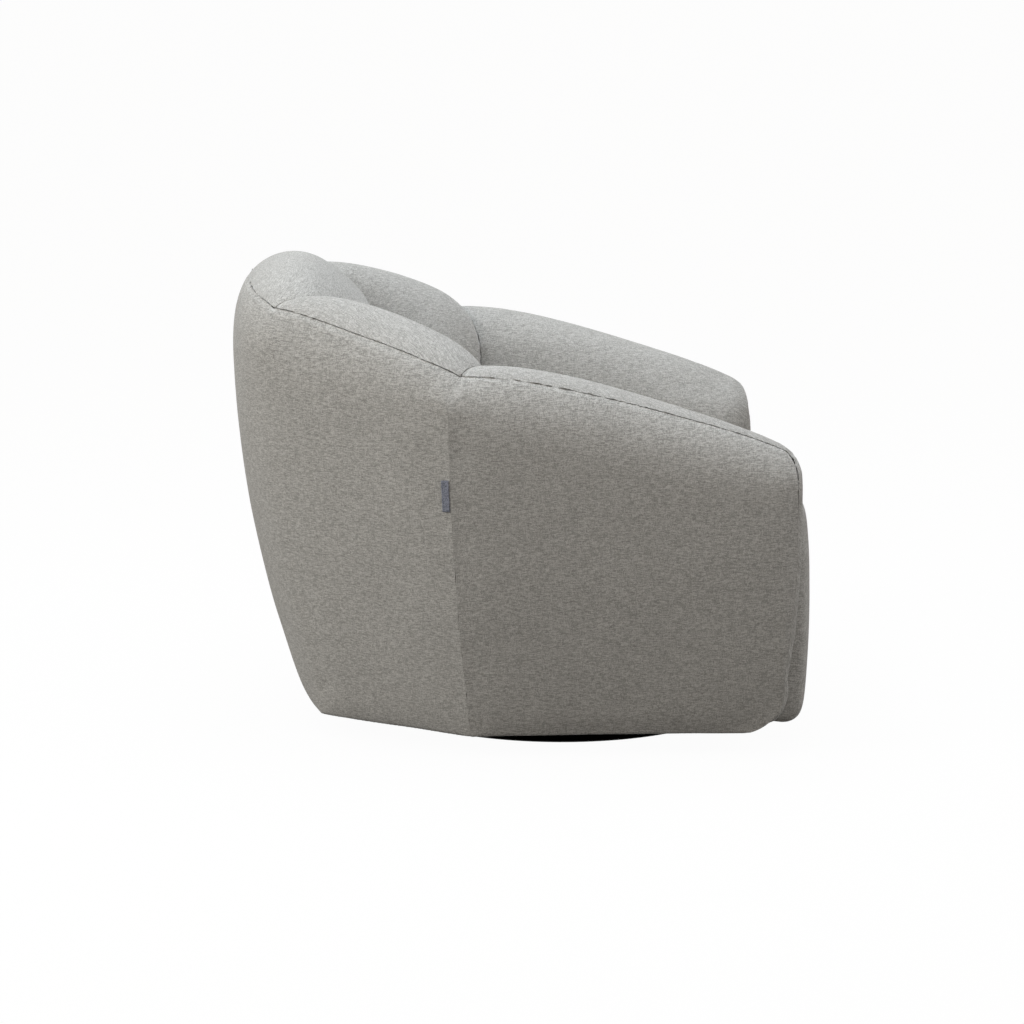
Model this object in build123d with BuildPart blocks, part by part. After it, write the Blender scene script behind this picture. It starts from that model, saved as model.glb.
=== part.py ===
from build123d import *
import os
from dataclasses import dataclass
from math import cos, pi, radians, sin, sqrt, tan

os.makedirs("parts", exist_ok=True)

# Swivel tub chair in millimetres, +Z up. The origin is on the floor at the swivel axis.
# The seat faces -Y, and -X is the sitter's right.

# Plinth and floor pad
FLOOR_PAD_T = 3
FLOOR_PAD_INSET = 8
PLINTH_R = 270
PLINTH_T = 17
PLINTH_EDGE = 3

# Swivel bearing
PLATE_EDGE = 15
PLATE_T = 3
PLATE_CORNER_R = 14
PLATE_GAP = 4
PLATE_HOLE_INSET = 17
RACE_R = 110
RACE_W = 20
RACE_RISE = 1
BALL_D = 6
BALL_COUNT = 36
BALL_PLAY = 0.15
CAGE_T = 1.2
CAGE_W = 11

# Pivot
PIVOT_D = 12
PIVOT_HEAD_FLATS = 19
PIVOT_HEAD_H = 5.5
PIVOT_RECESS_PLAY = 2
PIVOT_END = 3
PIVOT_FIT = 0.1
PIVOT_PLAY = 0.2
BUSH_D = 18
BUSH_FLANGE_D = 30
BUSH_FLANGE_T = 2
WASHER_D = 26
WASHER_T = 2
NUT_FLATS = 18
NUT_H = 9
RUNNING_GAP = 0.3

# Screws and tee nuts
WOOD_SCREW_D = 4.5
WOOD_SCREW_HEAD_D = 9
WOOD_SCREW_L = 14
MACHINE_SCREW_D = 6
MACHINE_SCREW_HEAD_D = 11
MACHINE_SCREW_L = 20
COUNTERSINK = 90
PLATE_SCREWS = 4
BOARD_SCREW_D = 5
BOARD_SCREW_HEAD_D = 10
BOARD_SCREW_L = 50
SCREW_PLAY = 0.1
TEE_BARREL_D = 8
TEE_BARREL_L = 9
TEE_FLANGE_D = 20
TEE_FLANGE_T = 1.2

# Timber
BOTTOM_BOARD_T = 18
BOARD_T = 15
BOARD_DROP = 46
BOARD_GAP = 8
POCKET_PLAY = 0.3
CENTRE_HOLE_D = 64
RAIL_T = 25
RAIL_DEEP = 50
RAIL_TOP = 256
SIDE_RAIL_W = 18
BACK_RAIL_SET = 30
WING_BLOCK_DEEP = 17
BACK_BLOCK_DEEP = 26
DUST_COVER_T = 0.8
DUST_HOLE_MARGIN = 12

# Plan of the body, as distances from the swivel axis at the bottom edge
ARM_FOOT = 345
WING_FOOT = 369.5
WING_TURN = 34
BACK_FOOT = 368
ARM_T = 73
BACK_T = 153
FRONT_Y = -325
WING_SEAM_TURN = 30
BACK_SEAM_TURN = 72

# Height of the crest at the arm's front and at the two seams, its roundness and the lean of the outside
FRONT_CREST = 437
WING_SEAM_CREST = 570
BACK_SEAM_CREST = 655
FRONT_DOME = 48
WING_SEAM_DOME = 55
BACK_SEAM_DOME = 60
FRONT_LEAN = 7.5
WING_SEAM_LEAN = 8
BACK_SEAM_LEAN = 9.2
FRONT_INNER_EDGE = 360
SEAT_EDGE = 408
WING_SEAM_INNER_TOP = 76
BACK_SEAM_INNER_TOP = 38
CREST_SET = 54

# Fullness of the lobes between their seams
ARM_CREST_PUFF = 23
WING_CREST_PUFF = 21
BACK_CREST_PUFF = 33
ARM_INNER_PUFF = 10
WING_INNER_PUFF = 18
BACK_INNER_PUFF = 14
BACK_DOME_PUFF = 16
ARM_SHOULDER_BOW = 6
WING_SHOULDER_BOW = 8
BACK_SHOULDER_BOW = 31
WING_FOOT_BOW = 4
BACK_FOOT_BOW = 20
OUTER_BELLY = 14
BACK_BELLY_PUFF = 15
INNER_BELLY = 6
INNER_EASE = 1
SWELL_POWER = 0.5
LOBE_STATIONS = (0, 0.15, 0.5, 0.85, 1)
ARM_STATIONS = (0.05, 0.15, 0.5, 0.85, 1)
FRONT_TUCK = 14

# Covers and the arm's front
COVER_FOOT_T = 12
FRONT_SEAM_DROP = 0.5
WING_SEAM_DROP = 4
BACK_SEAM_DROP = 10
ARM_SEAM_DIP = 0
WING_SEAM_DIP = 5
BACK_SEAM_DIP = 10
SEAM_COVER = 12
ZONE_MARGIN = 60
FRONT_WRAP = 7
FRONT_TOP_R = 52
TOE_RUN = 70
TOE_RISE = 85
TOE_TUCK = 16
TOE_MID_RUN = 29
TOE_MID_RISE = 23
FRONT_MID_TUCK = 5
FRONT_STRAIGHT_Z = 300

# Seat
SPRING_WIRE_D = 4
SPRING_COUNT = 5
SPRING_STEP = 90
SPRING_BARS = 14
SPRING_REACH = 24
SPRING_BEND_R = 10
CLIP_T = 1.2
CLIP_L = 30
CLIP_W = 14
CLIP_PLAY = 0.3
DECK_T = 4
SEAT_GAP = 12
SEAT_FRONT = 341
SEAT_FRONT_BOW = 17
SEAT_TOP = 404
SEAT_CROWN = 24
SEAT_EDGE_CROWN = 2
SEAT_FRONT_R = 70
SEAT_TOE_R = 26
SEAT_TOE_DROP = 7
SEAT_FRONT_BELLY = 6
SEAT_STATIONS = (-1, -0.6, 0, 0.6, 1)
CORE_T = 90
CORE_SIDE = 62
CORE_REAR = 70
CORE_FRONT = 36
CORE_PLAY = 0.3

# Seam tab
TAB_L = 46
TAB_W = 11
TAB_T = 1
TAB_Z = 395
TAB_SET = 7
TAB_GAP = 0.3

FAR = 900

# Levels
pad_top = FLOOR_PAD_T
plinth_top = pad_top + PLINTH_T
lower_plate_top = plinth_top + PLATE_T
upper_plate_z = lower_plate_top + PLATE_GAP
body_z = upper_plate_z + PLATE_T
ball_z = lower_plate_top + PLATE_GAP / 2
board_z = body_z + BOTTOM_BOARD_T
rail_z = RAIL_TOP - RAIL_DEEP
spring_z = RAIL_TOP + CLIP_T + CLIP_PLAY + SPRING_WIRE_D / 2
clip_top = spring_z + SPRING_WIRE_D / 2 + CLIP_PLAY + CLIP_T
deck_z = clip_top + CLIP_PLAY
seat_z = deck_z + DECK_T
front_block_y = FRONT_Y + TOE_RUN

# Places that follow from the sizes
plate_side = 2 * (RACE_R + PLATE_EDGE)
arm_inner = ARM_FOOT - ARM_T
back_inner = BACK_FOOT - BACK_T
side_rail_inner = ARM_FOOT - COVER_FOOT_T - BOARD_T - SIDE_RAIL_W
back_rail_y = back_inner - BACK_RAIL_SET
seat_half = arm_inner - SEAT_GAP
seat_rear = back_inner - SEAT_GAP

# Plan corners where the straight sides of the body meet
wing_out = Vector(-cos(radians(WING_TURN)), sin(radians(WING_TURN)))


def arm_meets_wing(arm_x, wing_reach):
    return Vector(-arm_x, (wing_reach + arm_x * wing_out.X) / wing_out.Y)


def wing_meets_back(back_y, wing_reach):
    return Vector((wing_reach - back_y * wing_out.Y) / wing_out.X, back_y)


def turned_out(angle):
    return Vector(-cos(radians(angle)), sin(radians(angle)))


@dataclass
class Seam:
    """An upright section where two lobes meet, or where the arm ends."""

    foot: Vector
    inner: Vector
    crest: float
    dome: float
    lean: float
    inner_top: float
    inner_edge: float
    seam_drop: float


@dataclass
class Lobe:
    """How far one lobe swells past the straight blend of its two seams."""

    crest_puff: float
    inner_puff: float
    dome_puff: float
    shoulder_bow: float
    foot_bow: float
    seam_dip: float
    belly_puff: float


wing_seam_out = turned_out(WING_SEAM_TURN)
back_seam_out = turned_out(BACK_SEAM_TURN)
wing_seam_foot = arm_meets_wing(ARM_FOOT, WING_FOOT)
back_seam_foot = wing_meets_back(BACK_FOOT, WING_FOOT)

front_seam = Seam(
    Vector(-ARM_FOOT, FRONT_Y),
    Vector(-arm_inner, FRONT_Y),
    FRONT_CREST,
    FRONT_DOME,
    FRONT_LEAN,
    ARM_T,
    FRONT_INNER_EDGE,
    FRONT_SEAM_DROP,
)
wing_seam = Seam(
    wing_seam_foot,
    wing_seam_foot + wing_seam_out * (ARM_T / wing_seam_out.X),
    WING_SEAM_CREST,
    WING_SEAM_DOME,
    WING_SEAM_LEAN,
    WING_SEAM_INNER_TOP,
    SEAT_EDGE,
    WING_SEAM_DROP,
)
back_seam = Seam(
    back_seam_foot,
    back_seam_foot + back_seam_out * (-BACK_T / back_seam_out.Y),
    BACK_SEAM_CREST,
    BACK_SEAM_DOME,
    BACK_SEAM_LEAN,
    BACK_SEAM_INNER_TOP,
    SEAT_EDGE,
    BACK_SEAM_DROP,
)
back_seam_left = Seam(
    Vector(-back_seam.foot.X, back_seam.foot.Y),
    Vector(-back_seam.inner.X, back_seam.inner.Y),
    BACK_SEAM_CREST,
    BACK_SEAM_DOME,
    BACK_SEAM_LEAN,
    BACK_SEAM_INNER_TOP,
    SEAT_EDGE,
    BACK_SEAM_DROP,
)
arm_lobe = Lobe(ARM_CREST_PUFF, ARM_INNER_PUFF, 0, ARM_SHOULDER_BOW, 0, ARM_SEAM_DIP, 0)
wing_lobe = Lobe(
    WING_CREST_PUFF, WING_INNER_PUFF, 0, WING_SHOULDER_BOW, WING_FOOT_BOW, WING_SEAM_DIP, 0
)
back_lobe = Lobe(
    BACK_CREST_PUFF,
    BACK_INNER_PUFF,
    BACK_DOME_PUFF,
    BACK_SHOULDER_BOW,
    BACK_FOOT_BOW,
    BACK_SEAM_DIP,
    BACK_BELLY_PUFF,
)


def blend(start, end, along):
    return start + (end - start) * along


def swell(along):
    return sin(pi * along) ** SWELL_POWER if 0 < along < 1 else 0


def crest_height(start, end, lobe, along):
    return blend(start.crest, end.crest, along) + lobe.crest_puff * swell(along)


def shoulder_reach(start, end, lobe, along):
    """Height of the outer shoulder and how far it stands out past the foot line."""
    dome = blend(start.dome, end.dome, along) + lobe.dome_puff * swell(along)
    height = crest_height(start, end, lobe, along) - dome
    lean = radians(blend(start.lean, end.lean, along))
    return height, (height - body_z) * tan(lean) + lobe.shoulder_bow * swell(along)


def section_plane(foot, outward):
    return Plane(origin=foot, x_dir=outward, z_dir=Vector(outward.Y, -outward.X))


def lobe_section(start, end, lobe, along, tuck=0):
    """Upright section through outside, crest and inside; local x points outward and y up."""
    foot = blend(start.foot, end.foot, along)
    inner = blend(start.inner, end.inner, along)
    rise = swell(along)
    shoulder_z, reach = shoulder_reach(start, end, lobe, along)
    inner_x = tuck - (foot - inner).length
    inner_top_x = tuck - blend(start.inner_top, end.inner_top, along) - lobe.inner_puff * rise
    edge_z = blend(start.inner_edge, end.inner_edge, along)
    foot_at = (lobe.foot_bow * rise - tuck, body_z)
    shoulder = (reach - tuck, shoulder_z)
    belly_out = OUTER_BELLY + lobe.belly_puff * rise
    belly = ((foot_at[0] + shoulder[0]) / 2 + belly_out, (body_z + shoulder_z) / 2)
    crest = (reach - CREST_SET, crest_height(start, end, lobe, along))
    inner_top = (inner_top_x, shoulder_z)
    inner_bulge = INNER_BELLY * rise + INNER_EASE
    inner_mid = ((inner_top_x + inner_x) / 2 - inner_bulge, (shoulder_z + edge_z) / 2)
    with BuildSketch(section_plane(foot, (foot - inner).normalized())) as outline:
        with BuildLine():
            ThreePointArc(foot_at, belly, shoulder)
            ThreePointArc(shoulder, crest, inner_top)
            ThreePointArc(inner_top, inner_mid, (inner_x, edge_z))
            Line((inner_x, edge_z), (inner_x, body_z))
            Line((inner_x, body_z), foot_at)
        make_face()
    return outline.sketch


def spoke_at(start, end, along):
    """Outward direction of the section at one place along a lobe."""
    return (blend(start.foot, end.foot, along) - blend(start.inner, end.inner, along)).normalized()


def side_out(start, end):
    """Outward direction square to the straight foot line of a lobe."""
    run = (end.foot - start.foot).normalized()
    return Vector(-run.Y, run.X)


def top_seam(start, end, lobe, along):
    """Reach past the foot line, and height, of the sewn seam between cover and pad."""
    shoulder_z, reach = shoulder_reach(start, end, lobe, along)
    crest_z = crest_height(start, end, lobe, along)
    drop = blend(start.seam_drop, end.seam_drop, along) + lobe.seam_dip * swell(along)
    rise = 1 - drop / (crest_z - shoulder_z)
    return reach - CREST_SET * (1 - sqrt(1 - rise**2)), crest_z - drop


def board_slope(start, end, lobe):
    """Outward run per height of the board's flat face, which stays inside the top seam all along."""
    outward = side_out(start, end)
    slopes = []
    for along in LOBE_STATIONS:
        reach, height = top_seam(start, end, lobe, along)
        out = reach * spoke_at(start, end, along).dot(outward)
        slopes.append((out + COVER_FOOT_T - SEAM_COVER) / (height - body_z))
    return min(slopes)


def cover_plane(start, end, lobe):
    """Flat back of one outer cover, where its board stands; local y points up and x to the start."""
    run = (end.foot - start.foot).normalized()
    outward = side_out(start, end)
    low = blend(start.foot, end.foot, 0.5) - outward * COVER_FOOT_T + Vector(0, 0, body_z)
    up = outward * board_slope(start, end, lobe) + Vector(0, 0, 1)
    return Plane(origin=low, x_dir=-run, z_dir=up.cross(run))


def zone_section(start, end, lobe, along):
    """Room of the outer cover in one section: outside the board, under a slope through the top seam."""
    spoke = spoke_at(start, end, along)
    share = spoke.dot(side_out(start, end))
    slope = board_slope(start, end, lobe) / share
    foot_in = -COVER_FOOT_T / share
    reach, height = top_seam(start, end, lobe, along)
    back = (reach - foot_in - slope * (height - body_z)) / (1 - slope)
    low_z = body_z - ZONE_MARGIN
    with BuildSketch(section_plane(blend(start.foot, end.foot, along), spoke)) as outline:
        Polygon(
            (foot_in - slope * ZONE_MARGIN, low_z),
            (reach + ZONE_MARGIN, low_z),
            (reach + ZONE_MARGIN, height + ZONE_MARGIN),
            (reach - back, height - back),
            align=None,
        )
    return outline.sketch


def mirrored(plane):
    """The same plane on the other side of the chair."""
    return Plane(
        origin=Vector(-plane.origin.X, plane.origin.Y, plane.origin.Z),
        x_dir=Vector(-plane.x_dir.X, plane.x_dir.Y, plane.x_dir.Z),
        z_dir=Vector(-plane.z_dir.X, plane.z_dir.Y, plane.z_dir.Z),
    )


arm_plane = cover_plane(front_seam, wing_seam, arm_lobe)
wing_plane = cover_plane(wing_seam, back_seam, wing_lobe)
back_plane = cover_plane(back_seam, back_seam_left, back_lobe)
arm_inside = arm_plane.offset(-BOARD_T)
wing_inside = wing_plane.offset(-BOARD_T)
back_inside = back_plane.offset(-BOARD_T)
wing_seam_plane = section_plane(wing_seam.foot, wing_seam_out)
back_seam_plane = section_plane(back_seam.foot, back_seam_out)
inner_run = (back_seam.inner - wing_seam.inner).normalized()
seat_corner_plane = Plane(
    origin=wing_seam.inner - Vector(-inner_run.Y, inner_run.X) * SEAT_GAP,
    x_dir=inner_run,
    z_dir=Vector(-inner_run.Y, inner_run.X),
)

pieces = {}

# Floor pad and plinth
with BuildPart() as floor_pad:
    Cylinder(PLINTH_R - FLOOR_PAD_INSET, FLOOR_PAD_T, align=(Align.CENTER, Align.CENTER, Align.MIN))
pieces["floor_pad"] = floor_pad

plate_hole = plate_side / 2 - PLATE_HOLE_INSET
head_recess_r = PIVOT_HEAD_FLATS / sqrt(3) + PIVOT_RECESS_PLAY
with BuildPart() as base_plinth:
    with BuildSketch(Plane.XY.offset(pad_top)):
        Circle(PLINTH_R)
    extrude(amount=PLINTH_T)
    chamfer(base_plinth.edges().filter_by(GeomType.CIRCLE), PLINTH_EDGE)
    with Locations((0, 0, pad_top)):
        Cylinder(
            head_recess_r,
            2 * PIVOT_HEAD_H,
            align=(Align.CENTER, Align.CENTER, Align.CENTER),
            mode=Mode.SUBTRACT,
        )
    with Locations((0, 0, plinth_top)):
        Hole(PIVOT_D / 2 + PIVOT_FIT)
        with GridLocations(2 * plate_hole, 2 * plate_hole, 2, 2):
            Hole(WOOD_SCREW_D / 2 + SCREW_PLAY, depth=WOOD_SCREW_L - PLATE_T)
pieces["base_plinth"] = base_plinth

# Swivel plates with their ball races
with BuildPart() as swivel_lower_plate:
    with BuildSketch(Plane.XY.offset(plinth_top)):
        RectangleRounded(plate_side, plate_side, PLATE_CORNER_R)
    extrude(amount=PLATE_T)
    with BuildSketch(Plane.XY.offset(lower_plate_top)):
        Circle(RACE_R + RACE_W / 2)
        Circle(RACE_R - RACE_W / 2, mode=Mode.SUBTRACT)
    extrude(amount=RACE_RISE)
    with Locations((0, 0, ball_z)):
        Torus(RACE_R, BALL_D / 2 + BALL_PLAY, mode=Mode.SUBTRACT)
    with Locations((0, 0, lower_plate_top)):
        Hole(PIVOT_D / 2 + PIVOT_FIT)
        with GridLocations(2 * plate_hole, 2 * plate_hole, 2, 2):
            CounterSinkHole(
                WOOD_SCREW_D / 2 + SCREW_PLAY,
                WOOD_SCREW_HEAD_D / 2 + SCREW_PLAY,
                counter_sink_angle=COUNTERSINK,
            )
pieces["swivel_lower_plate"] = swivel_lower_plate

upper_hole_r = sqrt(2) * plate_hole
upper_plate_under = Plane(origin=(0, 0, upper_plate_z), x_dir=(1, 0, 0), z_dir=(0, 0, -1))
with BuildPart() as swivel_upper_plate:
    with BuildSketch(Plane.XY.offset(upper_plate_z)):
        RectangleRounded(plate_side, plate_side, PLATE_CORNER_R, rotation=45)
    extrude(amount=PLATE_T)
    with BuildSketch(Plane.XY.offset(upper_plate_z - RACE_RISE)):
        Circle(RACE_R + RACE_W / 2)
        Circle(RACE_R - RACE_W / 2, mode=Mode.SUBTRACT)
    extrude(amount=RACE_RISE)
    with Locations((0, 0, ball_z)):
        Torus(RACE_R, BALL_D / 2 + BALL_PLAY, mode=Mode.SUBTRACT)
    with Locations(upper_plate_under):
        Hole(BUSH_D / 2 + PIVOT_FIT)
        with PolarLocations(upper_hole_r, PLATE_SCREWS):
            CounterSinkHole(
                MACHINE_SCREW_D / 2 + SCREW_PLAY,
                MACHINE_SCREW_HEAD_D / 2 + SCREW_PLAY,
                counter_sink_angle=COUNTERSINK,
            )
pieces["swivel_upper_plate"] = swivel_upper_plate

# Balls and their cage
with BuildPart() as swivel_balls:
    with Locations((0, 0, ball_z)):
        with PolarLocations(RACE_R, BALL_COUNT):
            Sphere(BALL_D / 2)
pieces["swivel_balls"] = swivel_balls

with BuildPart() as ball_cage:
    with BuildSketch(Plane.XY.offset(ball_z - CAGE_T / 2)):
        Circle(RACE_R + CAGE_W / 2)
        Circle(RACE_R - CAGE_W / 2, mode=Mode.SUBTRACT)
        with PolarLocations(RACE_R, BALL_COUNT):
            Circle(BALL_D / 2 + BALL_PLAY, mode=Mode.SUBTRACT)
    extrude(amount=CAGE_T)
pieces["ball_cage"] = ball_cage

# Pivot bolt, bush, washer and nut
bush_top = body_z + BUSH_FLANGE_T
washer_z = bush_top + RUNNING_GAP
nut_z = washer_z + WASHER_T
head_top = pad_top + PIVOT_HEAD_H
with BuildPart() as pivot_bolt:
    with BuildSketch(Plane.XY.offset(pad_top)):
        RegularPolygon(PIVOT_HEAD_FLATS / 2, 6, major_radius=False)
    extrude(amount=PIVOT_HEAD_H)
    with BuildSketch(Plane.XY.offset(head_top)):
        Circle(PIVOT_D / 2)
    extrude(amount=nut_z + NUT_H + PIVOT_END - head_top)
pieces["pivot_bolt"] = pivot_bolt

with BuildPart() as pivot_bush:
    with BuildSketch(Plane.XY.offset(upper_plate_z)):
        Circle(BUSH_D / 2)
    extrude(amount=PLATE_T)
    with BuildSketch(Plane.XY.offset(body_z)):
        Circle(BUSH_FLANGE_D / 2)
    extrude(amount=BUSH_FLANGE_T)
    with Locations((0, 0, bush_top)):
        Hole(PIVOT_D / 2 + PIVOT_PLAY)
pieces["pivot_bush"] = pivot_bush

with BuildPart() as pivot_washer:
    with BuildSketch(Plane.XY.offset(washer_z)):
        Circle(WASHER_D / 2)
        Circle(PIVOT_D / 2 + PIVOT_FIT, mode=Mode.SUBTRACT)
    extrude(amount=WASHER_T)
pieces["pivot_washer"] = pivot_washer

with BuildPart() as pivot_nut:
    with BuildSketch(Plane.XY.offset(nut_z)):
        RegularPolygon(NUT_FLATS / 2, 6, major_radius=False)
        Circle(PIVOT_D / 2 + PIVOT_FIT, mode=Mode.SUBTRACT)
    extrude(amount=NUT_H)
pieces["pivot_nut"] = pivot_nut


def countersunk_screw(plane, shank_d, head_d, length):
    """One screw with its head flush in the plane, driven against the plane's normal."""
    shank_r = shank_d / 2
    head_r = head_d / 2
    with BuildPart() as screw:
        with BuildSketch(Plane.XZ):
            Polygon(
                (0, 0),
                (head_r, 0),
                (shank_r, shank_r - head_r),
                (shank_r, shank_r - length),
                (0, -length),
                align=None,
            )
        revolve(axis=Axis.Z)
    return plane.location * screw.part


with BuildPart() as lower_plate_screws:
    with GridLocations(2 * plate_hole, 2 * plate_hole, 2, 2):
        add(
            countersunk_screw(
                Plane.XY.offset(lower_plate_top), WOOD_SCREW_D, WOOD_SCREW_HEAD_D, WOOD_SCREW_L
            )
        )
pieces["lower_plate_screws"] = lower_plate_screws

with BuildPart() as upper_plate_screws:
    with PolarLocations(upper_hole_r, PLATE_SCREWS):
        add(countersunk_screw(upper_plate_under, MACHINE_SCREW_D, MACHINE_SCREW_HEAD_D, MACHINE_SCREW_L))
pieces["upper_plate_screws"] = upper_plate_screws

with BuildPart() as tee_nuts:
    with BuildSketch(Plane.XY.offset(board_z - TEE_BARREL_L)):
        with PolarLocations(upper_hole_r, PLATE_SCREWS):
            Circle(TEE_BARREL_D / 2)
            Circle(MACHINE_SCREW_D / 2 + SCREW_PLAY, mode=Mode.SUBTRACT)
    extrude(amount=TEE_BARREL_L)
    with BuildSketch(Plane.XY.offset(board_z)):
        with PolarLocations(upper_hole_r, PLATE_SCREWS):
            Circle(TEE_FLANGE_D / 2)
            Circle(MACHINE_SCREW_D / 2 + SCREW_PLAY, mode=Mode.SUBTRACT)
    extrude(amount=TEE_FLANGE_T)
pieces["tee_nuts"] = tee_nuts

# Bottom board, dust cover and the screws between board and frame
foot_arm = ARM_FOOT - COVER_FOOT_T
foot_wing = arm_meets_wing(foot_arm, WING_FOOT - COVER_FOOT_T)
foot_back = wing_meets_back(BACK_FOOT - COVER_FOOT_T, WING_FOOT - COVER_FOOT_T)
bottom_outline = [
    (-foot_arm, front_block_y),
    (foot_arm, front_block_y),
    (-foot_wing.X, foot_wing.Y),
    (-foot_back.X, foot_back.Y),
    (foot_back.X, foot_back.Y),
    (foot_wing.X, foot_wing.Y),
]
rail_middle_y = front_block_y + RAIL_T / 2
wing_block_out = turned_out(WING_TURN / 2)
back_block_out = turned_out((WING_TURN + 90) / 2)
block_set = COVER_FOOT_T + BOARD_T
wing_block_at = wing_seam.foot - wing_block_out * (block_set + WING_BLOCK_DEEP / 2)
back_block_at = back_seam.foot - back_block_out * (block_set + BACK_BLOCK_DEEP / 2)
spring_rows = [(row - (SPRING_COUNT - 1) / 2) * SPRING_STEP for row in range(SPRING_COUNT)]
front_screw_points = [(x, rail_middle_y) for x in spring_rows[::2]]
board_screw_points = front_screw_points + [
    (wing_block_at.X, wing_block_at.Y),
    (-wing_block_at.X, wing_block_at.Y),
    (back_block_at.X, back_block_at.Y),
    (-back_block_at.X, back_block_at.Y),
]
board_under = Plane(origin=(0, 0, body_z), x_dir=(1, 0, 0), z_dir=(0, 0, -1))
under_points = [(x, -y) for x, y in board_screw_points]
with BuildPart() as bottom_board:
    with BuildSketch(Plane.XY.offset(body_z)):
        Polygon(*bottom_outline, align=None)
        Circle(CENTRE_HOLE_D / 2, mode=Mode.SUBTRACT)
        with PolarLocations(upper_hole_r, PLATE_SCREWS):
            Circle(TEE_BARREL_D / 2 + SCREW_PLAY, mode=Mode.SUBTRACT)
    extrude(amount=BOTTOM_BOARD_T)
    with Locations(board_under):
        with Locations(*under_points):
            CounterSinkHole(
                BOARD_SCREW_D / 2 + SCREW_PLAY,
                BOARD_SCREW_HEAD_D / 2 + SCREW_PLAY,
                counter_sink_angle=COUNTERSINK,
            )
pieces["bottom_board"] = bottom_board

with BuildPart() as dust_cover:
    with BuildSketch(Plane.XY.offset(body_z - DUST_COVER_T)):
        Polygon(*bottom_outline, align=None)
        Circle(plate_side / sqrt(2) + DUST_HOLE_MARGIN, mode=Mode.SUBTRACT)
    extrude(amount=DUST_COVER_T)
pieces["dust_cover"] = dust_cover

with BuildPart() as board_screws:
    with Locations(*board_screw_points):
        add(countersunk_screw(board_under, BOARD_SCREW_D, BOARD_SCREW_HEAD_D, BOARD_SCREW_L))
pieces["board_screws"] = board_screws

# Timber boards inside arms, wings and back; each stands on the bottom board


def board_outline(plane, start, end, room=0, beyond=0):
    """Board in its own plane, or the room for it; the start is at +x and the top follows the crests."""
    slope = plane.y_dir.Z
    half = (end.foot - start.foot).length / 2
    low = (board_z - body_z) / slope - beyond
    top_start = (start.crest - BOARD_DROP - body_z) / slope + room
    top_end = (end.crest - BOARD_DROP - body_z) / slope + room
    climb = (top_start - top_end) / (2 * half) * beyond
    left = -half - beyond
    right = half + beyond
    with BuildSketch(plane) as outline:
        Polygon((left, low), (right, low), (right, top_start + climb), (left, top_end - climb), align=None)
    return outline.sketch


front_block_plane = Plane(origin=(0, front_block_y, 0), x_dir=(1, 0, 0), z_dir=(0, 1, 0))
with BuildPart() as arm_board_right:
    extrude(board_outline(arm_plane, front_seam, wing_seam), amount=-BOARD_T)
    split(bisect_by=front_block_plane, keep=Keep.TOP)
    split(bisect_by=wing_seam_plane.offset(-BOARD_GAP), keep=Keep.BOTTOM)
pieces["arm_board_right"] = arm_board_right

with BuildPart() as wing_board_right:
    extrude(board_outline(wing_plane, wing_seam, back_seam), amount=-BOARD_T)
    split(bisect_by=wing_seam_plane.offset(BOARD_GAP), keep=Keep.TOP)
    split(bisect_by=back_seam_plane.offset(-BOARD_GAP), keep=Keep.BOTTOM)
pieces["wing_board_right"] = wing_board_right

with BuildPart() as back_board:
    extrude(board_outline(back_plane, back_seam, back_seam_left), amount=-BOARD_T)
    split(bisect_by=back_seam_plane.offset(BOARD_GAP), keep=Keep.TOP)
    split(bisect_by=mirrored(back_seam_plane.offset(BOARD_GAP)), keep=Keep.TOP)
pieces["back_board"] = back_board

# Rails and corner blocks
with BuildPart() as front_rail:
    with BuildSketch(Plane.XY.offset(board_z)):
        with Locations((0, rail_middle_y)):
            Rectangle(FAR, RAIL_T)
    extrude(amount=RAIL_TOP - board_z)
    split(bisect_by=arm_inside, keep=Keep.BOTTOM)
    split(bisect_by=mirrored(arm_inside), keep=Keep.BOTTOM)
    with Locations(*[(x, y, board_z) for x, y in front_screw_points]):
        Cylinder(BOARD_SCREW_D / 2 + SCREW_PLAY, 2 * BOARD_SCREW_L, mode=Mode.SUBTRACT)
pieces["front_rail"] = front_rail

rail_rear_y = front_block_y + RAIL_T
with BuildPart() as seat_rail_right:
    with BuildSketch(Plane.XY.offset(rail_z)):
        with Locations((-side_rail_inner, rail_rear_y)):
            Rectangle(FAR, back_rail_y - rail_rear_y, align=(Align.MAX, Align.MIN))
    extrude(amount=RAIL_DEEP)
    split(bisect_by=arm_inside, keep=Keep.BOTTOM)
    split(bisect_by=wing_inside, keep=Keep.BOTTOM)
pieces["seat_rail_right"] = seat_rail_right

with BuildPart() as seat_back_rail:
    with BuildSketch(Plane.XY.offset(rail_z)):
        with Locations((0, back_rail_y)):
            Rectangle(2 * FAR, RAIL_T, align=(Align.CENTER, Align.MIN))
    extrude(amount=RAIL_DEEP)
    split(bisect_by=wing_inside, keep=Keep.BOTTOM)
    split(bisect_by=mirrored(wing_inside), keep=Keep.BOTTOM)
pieces["seat_back_rail"] = seat_back_rail


def block_back(foot, outward, deep):
    """Upright plane across a corner, behind which the corner block is cut away."""
    origin = foot - outward * (block_set + deep)
    return Plane(origin=origin, x_dir=Vector(outward.Y, -outward.X), z_dir=outward)


with BuildPart() as wing_block_right:
    with BuildSketch(Plane.XY.offset(board_z)):
        Rectangle(2 * FAR, 2 * FAR)
    extrude(amount=rail_z - board_z)
    split(bisect_by=block_back(wing_seam.foot, wing_block_out, WING_BLOCK_DEEP), keep=Keep.TOP)
    split(bisect_by=arm_inside, keep=Keep.BOTTOM)
    split(bisect_by=wing_inside, keep=Keep.BOTTOM)
    with Locations((wing_block_at.X, wing_block_at.Y, board_z)):
        Cylinder(BOARD_SCREW_D / 2 + SCREW_PLAY, 2 * BOARD_SCREW_L, mode=Mode.SUBTRACT)
pieces["wing_block_right"] = wing_block_right

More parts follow.
